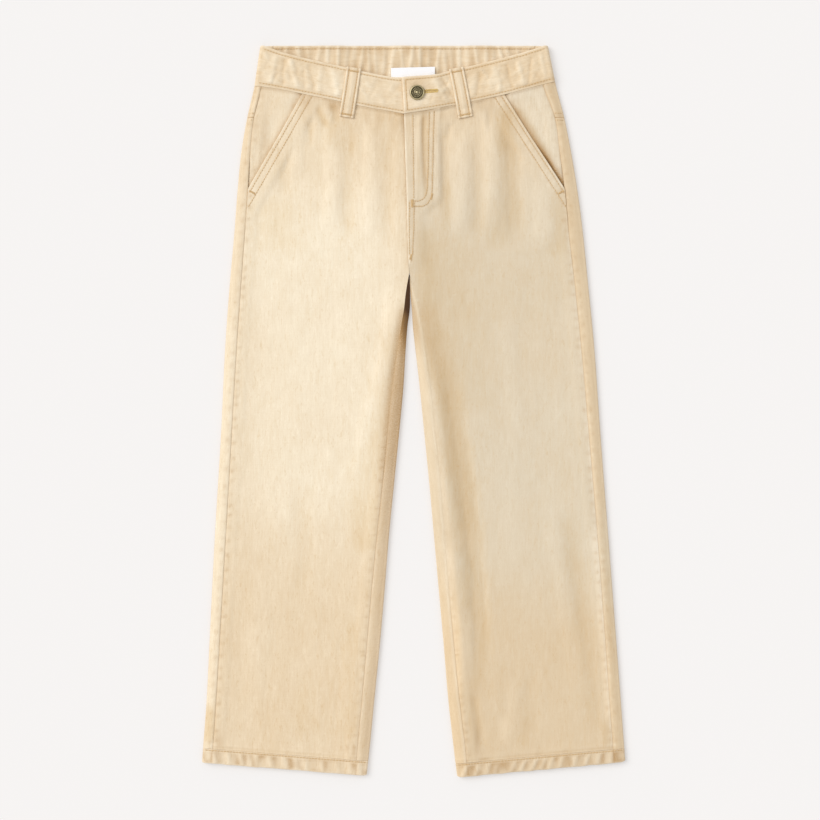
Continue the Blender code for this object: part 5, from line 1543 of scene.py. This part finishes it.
def make_button():
    """A domed cap with a rolled rim, a dished face, a ring of short bars and a plain boss."""
    sides, floor = 72, TAB_Z + BAND_WALL / 2 + LAYER
    profile = [  # radius, height, how polished
        (4.6, 0.0, 0.0), (6.6, 0.12, 0.0), (7.2, 0.4, 0.1), (7.55, 0.85, 0.4), (7.7, 1.3, 0.6), (7.62, 1.8, 0.8),
        (7.35, 2.25, 1.0), (6.95, 2.55, 1.0), (6.55, 2.65, 1.0), (6.2, 2.55, 0.6), (5.95, 2.25, 0.1), (5.8, 1.95, 0.0),
        (5.5, 1.9, 0.0), (4.6, 1.95, 0.0), (3.6, 2.0, 0.0), (3.1, 2.05, 0.1), (2.9, 2.3, 0.8), (2.6, 2.42, 0.8),
        (2.3, 2.3, 0.3), (2.15, 2.1, 0.0), (1.8, 2.1, 0.1), (1.4, 2.4, 0.7), (0.8, 2.62, 1.0), (0.3, 2.68, 1.0),
    ]
    angle = np.linspace(0.0, 2 * math.pi, sides, endpoint=False)
    verts, faces, shine = [], [], []
    for radius, height, polish in profile:
        verts.append(np.stack([BUTTON_X + radius * np.cos(angle), BUTTON_Y + radius * np.sin(angle), np.full(sides, floor + height)], axis=-1))
        shine.append(np.full(sides, polish))
    for k in range(len(profile) - 1):
        i = np.arange(sides)
        j = (i + 1) % sides
        faces += np.stack([k * sides + i, k * sides + j, (k + 1) * sides + j, (k + 1) * sides + i], axis=-1).tolist()
    faces.append(list(range(sides))[::-1])
    faces.append([(len(profile) - 1) * sides + i for i in range(sides)])
    count = len(profile) * sides
    # short raised bars between the rim and the inner ring
    for k in range(20):
        a = 2 * math.pi * k / 20
        for r0, r1, wide, tall in ((3.55, 5.35, 0.30, 0.42),):
            c, s = math.cos(a), math.sin(a)
            ring = []
            for r, h, w in ((r0, 0.02, 0.7), (r0 + 0.15, 0.9, 0.9), (r1 - 0.15, 0.9, 1.15), (r1, 0.02, 0.9)):
                for side, up in ((-1, -0.15), (-0.75, 0.75), (0, 1.0), (0.75, 0.75), (1, -0.15)):
                    px, py = r * c - side * wide * w * s, r * s + side * wide * w * c
                    ring.append((BUTTON_X + px, BUTTON_Y + py, floor + 1.9 + (tall * h * up if up > 0 else -0.1)))
            verts.append(np.array(ring))
            shine.append(np.tile([0.3, 1.0, 1.0, 1.0, 0.3], 4))
            base = count
            for i in range(3):
                for j in range(4):
                    p = base + i * 5 + j
                    faces.append([p, p + 5, p + 6, p + 1])
                faces.append([base + i * 5, base + i * 5 + 4, base + (i + 1) * 5 + 4, base + (i + 1) * 5])
            faces.append([base + m for m in range(5)])
            faces.append([base + 15 + m for m in range(5)][::-1])
            count += 20
    verts = np.concatenate(verts)
    piece = mesh_object("brass_button", verts, faces, "button_metal", brass_material(), wear=np.concatenate(shine))
    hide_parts("button")
    return piece


# ---- stitches ---------------------------------------------------------------------------------
def surface(x, y, above=True, names=None):
    """The height and the normal of the cloth at a place, seen from above or from below."""
    best = None
    start, way = (Vector((x, y, 40.0)), Vector((0, 0, -1))) if above else (Vector((x, y, -20.0)), Vector((0, 0, 1)))
    for name, tree in TREES.items():
        if names and not any(name.startswith(n) for n in names):
            continue
        hit, normal, _, far = tree.ray_cast(start, way)
        if hit is not None and (best is None or far < best[2]):
            best = (hit, normal, far)
    return best


STITCHES = []   # middle, direction, up, length, radius


def sew(row, pitch=3.1, above=True, names=None, radius=0.30, fill=0.80, sink=0.10, seed=1):
    """Threads along a row of places, each lying in the cloth's channel."""
    row = np.array(row, float)
    step = np.hypot(*np.diff(row, axis=0).T)
    run = np.concatenate([[0.0], np.cumsum(step)])
    count = max(1, int(round(run[-1] / pitch)))
    ends = np.linspace(0.0, run[-1], count + 1)
    px, py = np.interp(ends, run, row[:, 0]), np.interp(ends, run, row[:, 1])
    rng = np.random.default_rng(seed)
    for k in range(count):
        margin = (1 - fill) / 2
        ax, ay = mix(px[k], px[k + 1], margin), mix(py[k], py[k + 1], margin)
        bx, by = mix(px[k], px[k + 1], 1 - margin), mix(py[k], py[k + 1], 1 - margin)
        a, b = surface(ax, ay, above, names), surface(bx, by, above, names)
        if a is None or b is None or abs(a[0].z - b[0].z) > 0.9:
            continue
        one, two = np.array(a[0]), np.array(b[0])
        up = np.array(a[1] + b[1])
        up /= np.linalg.norm(up)
        if (up[2] > 0) != above:
            up = -up
        lift = radius * (1 - 2 * sink) * rng.uniform(0.85, 1.1)
        jitter = rng.uniform(-0.07, 0.07)
        along = two - one
        long = np.linalg.norm(along)
        along /= long
        across = np.cross(up, along)
        STITCHES.append(((one + two) / 2 + up * lift + across * jitter, along, up, long, radius * rng.uniform(0.9, 1.1), above))


def bar(x, y, ax, ay, length, width, above=True, names=None, radius=0.26, count=None):
    """A bar tack: threads side by side across a short line."""
    count = count or max(3, int(length / 0.55))
    norm = math.hypot(ax, ay)
    ax, ay = ax / norm, ay / norm
    for k in range(count):
        s = (k / (count - 1) - 0.5) * length
        cx, cy = x + ax * s, y + ay * s
        sew([(cx - ay * width / 2 - ax * 0.15, cy + ax * width / 2 - ay * 0.15), (cx + ay * width / 2 + ax * 0.15, cy - ax * width / 2 + ay * 0.15)],
            pitch=width, above=above, names=names, radius=radius, fill=0.96, sink=0.2, seed=k)


def stitch_mesh(name, stitches, material, slot):
    """All the threads as one mesh: each a soft capsule, its ends going down into the cloth."""
    around, rings = 8, [(-0.5, 0.35, -0.75), (-0.44, 0.80, -0.35), (-0.26, 1.0, 0.0), (0.0, 1.05, 0.08), (0.26, 1.0, 0.0), (0.44, 0.80, -0.35), (0.5, 0.35, -0.75)]
    angle = np.linspace(0, 2 * math.pi, around, endpoint=False)
    centre, along, up = (np.array([s[k] for s in stitches]) for k in range(3))
    long, radius = (np.array([s[k] for s in stitches])[:, None] for k in (3, 4))
    across = np.cross(up, along)
    verts, grain = [], []
    for where, size, drop in rings:
        middle = centre + along * (where * long) + up * (drop * radius)
        for a in angle:
            verts.append(middle + across * (radius * size * 1.15 * math.cos(a)) + up * (radius * size * 0.85 * math.sin(a)))
            grain.append(np.concatenate([(where * long) + 0 * radius, 0 * radius + a, np.arange(len(stitches))[:, None] * 1.7], axis=1))
    per = len(verts)
    verts, grain = np.stack(verts, axis=1).reshape(-1, 3), np.stack(grain, axis=1).reshape(-1, 3)
    quads, caps = [], []
    for r in range(len(rings) - 1):
        for a in range(around):
            b = (a + 1) % around
            quads.append([r * around + a, r * around + b, (r + 1) * around + b, (r + 1) * around + a])
    # each cap is three quads, so that the whole mesh is quads
    first, last = list(range(around)), [(len(rings) - 1) * around + a for a in range(around)]
    for loop, turn in ((first, True), (last, False)):
        for k in range(0, around - 2, 2):
            q = [loop[0], loop[k + 1], loop[k + 2], loop[(k + 3) % around]]
            if k + 3 >= around:
                continue
            caps.append(q[::-1] if turn else q)
    template = np.array(quads + caps)
    faces = (template[None] + (np.arange(len(stitches)) * per)[:, None, None]).reshape(-1, 4)
    return mesh_object(name, verts, faces, slot, material, grain=grain)


def line_of(points):
    return [tuple(p) for p in points]


def band_row(side, t, s0, s1, count=60):
    """A row along a front band at that share of its depth."""
    curves, s = BAND_CURVES[side], np.linspace(s0, s1, count)
    spans = BAND_SPANS[side]
    shift = INWARD[side] * (BAND_WALL / 2 + BAND_ROLL) * np.clip(s - (spans - 1.0), 0.0, 1.0)
    x = mix(curves[0](s), curves[2](s), t) + shift
    y = mix(curves[1](s), curves[3](s), t)
    return np.stack([x, y], axis=1)


def sew_all():
    bands = ["cloth_waistband_front"]
    high, low = 3.1 / 37.5, 1 - 2.9 / 37.5
    for side in ("right", "left"):
        start = 0.06 if side == "right" else 3.4 / 33.0
        for t in (high, low):
            row = band_row(side, t, start, BAND_SPANS[side] - 0.02)
            kept = row
            sew(kept, names=bands + ["cloth_waistband_front"], seed=int(t * 50))
    a, b = band_row("left", high, 3.4 / 33.0, 1.0)[0], band_row("left", low, 3.4 / 33.0, 1.0)[0]
    sew([a, b], names=["cloth_waistband_front_left"], seed=3)
    for side in ("right", "left"):
        fronts = ["cloth_front_" + side]
        for k, row in enumerate(POCKET_ROWS[side]):
            sew(row, names=fronts, seed=11 + k)
        x0, y0, x1, y1, _ = POCKETS[side]
        # the bar tack at the low end of the opening
        dx, dy = x1 - x0, y1 - y0
        foot = POCKET_ROWS[side][0][1]
        bar(foot[0] + INWARD[side] * 1.8 - dx * 0.02, foot[1] - dy * 0.02 - 1.5, -dy, dx, 6.0, 2.2, names=fronts)
    for k, row in enumerate(FLY_ROWS.values()):
        sew(row, pitch=2.7, names=["cloth_front_left"], seed=21 + k)
    bar(-1.4, 212.0, 0.0, 1.0, 7.5, 3.0, names=["cloth_front_left"])
    bar(18.4, 219.0, 0.25, 1.0, 6.0, 2.0, names=["cloth_front_left"])
    bar(-3.0, 157.5, 0.3, 1.0, 5.0, 2.2, names=["cloth_front"])
    for side in ("right", "left"):
        for inset in (1.5,):
            rows = Rows(side, np.array([HEMS[side][0] - inset]), HEMS[side][2])
            for above in (True, False):
                x = np.linspace(float(rows.outer[0]) + INWARD[side] * 2.2, float(rows.inner[0]) - INWARD[side] * 2.2, 40)
                y = rows.y0[0] + rows.slope * (x - rows.middle[0])
                sew(np.stack([x, y], axis=1), above=above, names=["cloth_hem"], seed=31)
    for name, (xt, yt, xb, yb) in LOOPS.items():
        long = math.hypot(xb - xt, yb - yt)
        ax, ay = (xb - xt) / long, (yb - yt) / long
        for w in (-FRONT_LOOP_WIDTH / 2 + 2.7, FRONT_LOOP_WIDTH / 2 - 2.7):
            row = [(xt + ax * s - ay * w, yt + ay * s + ax * w) for s in np.linspace(1.5, long - 3.0, 24)]
            sew(row, pitch=2.8, names=["cloth_" + name], seed=41)
        for s in (3.6, long - 2.6):
            cx, cy = xt + ax * s, yt + ay * s
            bar(cx, cy, -ay, ax, FRONT_LOOP_WIDTH - 3.8, 1.7, names=["cloth_" + name], radius=0.24)
    # the yoke seams on the strips that show at the front
    for side in ("right", "left"):
        d = INWARD[side]
        for y in (304.2, 297.2):
            x_out, x_in = float(EDGE_OUT[side](y)) + d * 1.6, float(SEAM_OUT[side](y)) - d * 0.9
            sew([(x_out, y), (x_in, y)], pitch=2.4, names=["cloth_yoke", "cloth_back"], seed=51)
    # the back band's rows, inside and outside
    left, right = BAND["right"][-1][0] + BAND_TURN + 1.0, BAND["left"][-1][0] - BAND_TURN - 1.0
    for y, above in ((WAIST_TOP_Y - 3.2, True), (WAIST_TOP_Y - 3.2, False), (BACK_BAND_LOW_Y + 3.2, False)):
        sew([(left, y), (right, y)], above=above, names=["cloth_waistband_back", "cloth_loop_back"], seed=61)
    for side in ("right", "left"):
        for k, row in enumerate(back_channels(side)):
            sew(row, above=False, names=["cloth_back", "cloth_yoke"], seed=71 + k)
    for name, x in BACK_LOOPS.items():
        for w in (-LOOP_WIDTH / 2 + 2.9, LOOP_WIDTH / 2 - 2.9):
            sew([(x + w, WAIST_TOP_Y - 2.4), (x + w, BACK_BAND_LOW_Y + 2.4)], above=False, names=["cloth_" + name], seed=81)
        for y in (WAIST_TOP_Y - 3.4, BACK_BAND_LOW_Y + 3.4):
            bar(x, y, 1.0, 0.0, LOOP_WIDTH - 4.0, 1.7, above=False, names=["cloth_" + name], radius=0.24)


def buttonhole():
    """Close threads round the slit."""
    made = []
    (x0, y0), (x1, y1) = place(424.6, 92.2), place(436.6, 91.4)
    long = math.hypot(x1 - x0, y1 - y0)
    ax, ay = (x1 - x0) / long, (y1 - y0) / long
    keep = list(STITCHES)
    del STITCHES[:]
    for k in range(26):
        s = long * k / 25
        for side in (-1, 1):
            cx, cy = x0 + ax * s - ay * side * 1.05, y0 + ay * s + ax * side * 1.05
            sew([(cx - ay * 0.85, cy + ax * 0.85), (cx + ay * 0.85, cy - ax * 0.85)], pitch=1.7, names=["cloth_waistband_front_left"],
                radius=0.27, fill=1.0, sink=0.0, seed=k)
    for end, way in (((x1, y1), 0.0), ((x0, y0), math.pi)):
        for k in range(7):
            a = math.atan2(ay, ax) + way + math.pi * (k / 6 - 0.5)
            cx, cy = end[0] + math.cos(a) * 1.15, end[1] + math.sin(a) * 1.15
            sew([(cx - math.cos(a) * 0.8, cy - math.sin(a) * 0.8), (cx + math.cos(a) * 0.8, cy + math.sin(a) * 0.8)], pitch=1.6,
                names=["cloth_waistband_front_left"], radius=0.27, fill=1.0, sink=0.0, seed=k)
    made = list(STITCHES)
    del STITCHES[:]
    STITCHES.extend(keep)
    return made


# ---- the scene --------------------------------------------------------------------------------
def zip_materials():
    made = []
    for name, low, high, size in (("zip_tape_weave", (206, 184, 146), (230, 212, 180), (1400.0, 500.0, 900.0)),
                                  ("zip_teeth", (176, 150, 104), (206, 182, 138), (2600.0, 2600.0, 2600.0))):
        n = Nodes(name)
        where = n.add("ShaderNodeTexCoord").outputs["Object"]
        weave = n.noise(n.scale(where, size), 1.0, 2.0)
        n.put(n.shader.inputs["Base Color"], n.blend(weave, colour(*low), colour(*high)))
        n.shader.inputs["Roughness"].default_value = 0.85 if "tape" in name else 0.45
        n.put(n.shader.inputs["Normal"], n.add("ShaderNodeBump", {"Height": weave, "Strength": 0.4, "Distance": 0.0001}).outputs[0])
        made.append(n.material)
    return made


def make_zip():
    """The closed zip between the fly's layers: two tapes, and teeth along their meeting edges."""
    x0, x1, middle, y0, y1 = -4.5, 14.5, 5.0, 229.0, 299.0
    verts, faces, count = [], [], 0
    y = np.linspace(y1, y0, 57)[:, None]
    for left, right in ((x0, middle - 0.15), (middle + 0.15, x1)):
        x = np.linspace(left, right, 13)[None] + 0 * y
        yy = y + 0 * x
        z = np.clip(front_z("left", x, yy) - WALL / 2 - 0.35, 4.22, 4.78)
        # a cord stands along the edge that carries the teeth
        cord = bump(np.abs(x - middle) - 0.9, 0.5)
        thick = 0.30 + 0.10 * cord
        top, low = np.stack([x, yy, z + thick / 2], axis=-1), np.stack([x, yy, z - thick / 2], axis=-1)
        index = np.arange(x.size).reshape(x.shape)
        a, b, c, d = index[:-1, :-1], index[:-1, 1:], index[1:, 1:], index[1:, :-1]
        quads = np.stack([a, d, c, b], axis=-1).reshape(-1, 4)
        made = [quads, quads[:, ::-1] + x.size]
        for line in (index[0], index[::-1, 0], index[-1, ::-1], index[:, -1]):
            one, two = line[:-1], line[1:]
            made.append(np.stack([one, two, two + x.size, one + x.size], axis=-1))
        verts += [top.reshape(-1, 3), low.reshape(-1, 3)]
        faces.append(np.concatenate(made) + count)
        count += 2 * x.size
    tape_faces = sum(len(f) for f in faces)
    around = 8
    rings = [(-1.25, 0.45), (-1.1, 0.85), (-0.6, 1.0), (0.35, 1.0), (0.75, 1.25), (1.1, 1.1), (1.25, 0.5)]
    angle = np.linspace(0.0, 2 * math.pi, around, endpoint=False)
    for k in range(46):
        way = 1 if k % 2 else -1
        cy = y1 - 2.0 - k * 1.45
        height = float(np.clip(front_z("left", np.array(middle), np.array(cy)) - WALL / 2 - 0.42, 4.42, 4.9))
        ring_at = []
        for where, size in rings:
            cx = middle + way * (0.55 - where)
            ring_at.append(np.stack([np.full(around, cx), cy + 0.50 * size * np.cos(angle), height + 0.24 * size * np.sin(angle)], axis=-1))
        verts.append(np.concatenate(ring_at))
        i = np.arange(around)
        j = (i + 1) % around
        quads = [np.stack([r * around + i, (r + 1) * around + i, (r + 1) * around + j, r * around + j], axis=-1) for r in range(len(rings) - 1)]
        last = (len(rings) - 1) * around
        caps = [[0, 1, 2, 3], [0, 3, 4, 7], [4, 5, 6, 7], [last + 3, last + 2, last + 1, last], [last + 7, last + 4, last + 3, last], [last + 7, last + 6, last + 5, last + 4]]
        quads = np.concatenate(quads + [np.array(caps)])
        faces.append((quads if way > 0 else quads[:, ::-1]) + count)
        count += around * len(rings)
    tape, teeth = zip_materials()
    faces = np.concatenate(faces)
    piece = mesh_object("fly_zip_closed", np.concatenate(verts), faces, "zip_tape", tape)
    piece.data.materials.append(teeth)
    piece.data.polygons.foreach_set("material_index", (np.arange(len(faces)) >= tape_faces).astype(np.int32))
    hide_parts("fly_zip")
    return piece


def floor_and_light():
    scene = bpy.context.scene
    scene.view_settings.view_transform = "Standard"
    size = 8.0
    data = bpy.data.meshes.new("floor")
    data.from_pydata([(-size, -size, -0.0004), (size, -size, -0.0004), (size, size, -0.0004), (-size, size, -0.0004)], [], [(0, 1, 2, 3)])
    made = bpy.data.objects.new("floor", data)
    scene.collection.objects.link(made)
    n = Nodes("pale_floor")
    n.shader.inputs["Base Color"].default_value = (0.570, 0.559, 0.554, 1.0)
    n.shader.inputs["Emission Color"].default_value = (1.0, 0.982, 0.975, 1.0)
    n.shader.inputs["Emission Strength"].default_value = 0.31
    n.shader.inputs["Roughness"].default_value = 1.0
    n.shader.inputs["Specular IOR Level"].default_value = 0.0
    data.materials.append(n.material)
    world = bpy.data.worlds.new("studio")
    scene.world = world
    world.use_nodes = True
    back = world.node_tree.nodes["Background"]
    back.inputs["Color"].default_value = (1.0, 0.995, 0.99, 1.0)
    back.inputs["Strength"].default_value = 0.70
    light = bpy.data.lights.new("key", "SUN")
    light.energy = 1.72
    light.angle = math.radians(42.0)
    light.color = (1.0, 0.995, 0.985)
    key = bpy.data.objects.new("key", light)
    scene.collection.objects.link(key)
    key.rotation_mode = "QUATERNION"
    key.rotation_quaternion = Vector((0.80, -0.38, -0.86)).to_track_quat("-Z", "Y")
    key.location = (-0.8, 0.4, 0.9)


def camera():
    data = bpy.data.cameras.new("view")
    data.sensor_width = 36.0
    data.lens = 100.0
    data.clip_start, data.clip_end = 0.1, 20.0
    width = 820 * 1.02 * MM
    made = bpy.data.objects.new("view", data)
    made.location = ((410.0 - 413.75) * 1.02 * MM, (411.4 - 410.0) * 1.02 * MM, width * data.lens / data.sensor_width + 0.005)
    bpy.context.scene.collection.objects.link(made)
    bpy.context.scene.camera = made


def main():
    for side in ("right", "left"):
        make_back(side)
        make_yoke(side)
        make_facing(side)
        make_front(side)
        make_hem(side)
        make_front_band(side)
    make_back_band()
    for name in LOOPS:
        make_front_loop(name)
    for name in BACK_LOOPS:
        make_back_loop(name)
    make_label()
    make_zip()
    make_button()
    gold = buttonhole()
    sew_all()
    front = [s for s in STITCHES if s[5]]
    back = [s for s in STITCHES if not s[5]]
    stitch_mesh("stitches_front", front, THREAD, "denim_front")
    stitch_mesh("stitches_back", back, THREAD, "denim_back")
    stitch_mesh("buttonhole_threads", gold, GOLD_THREAD, "denim_band")
    floor_and_light()
    camera()


main()
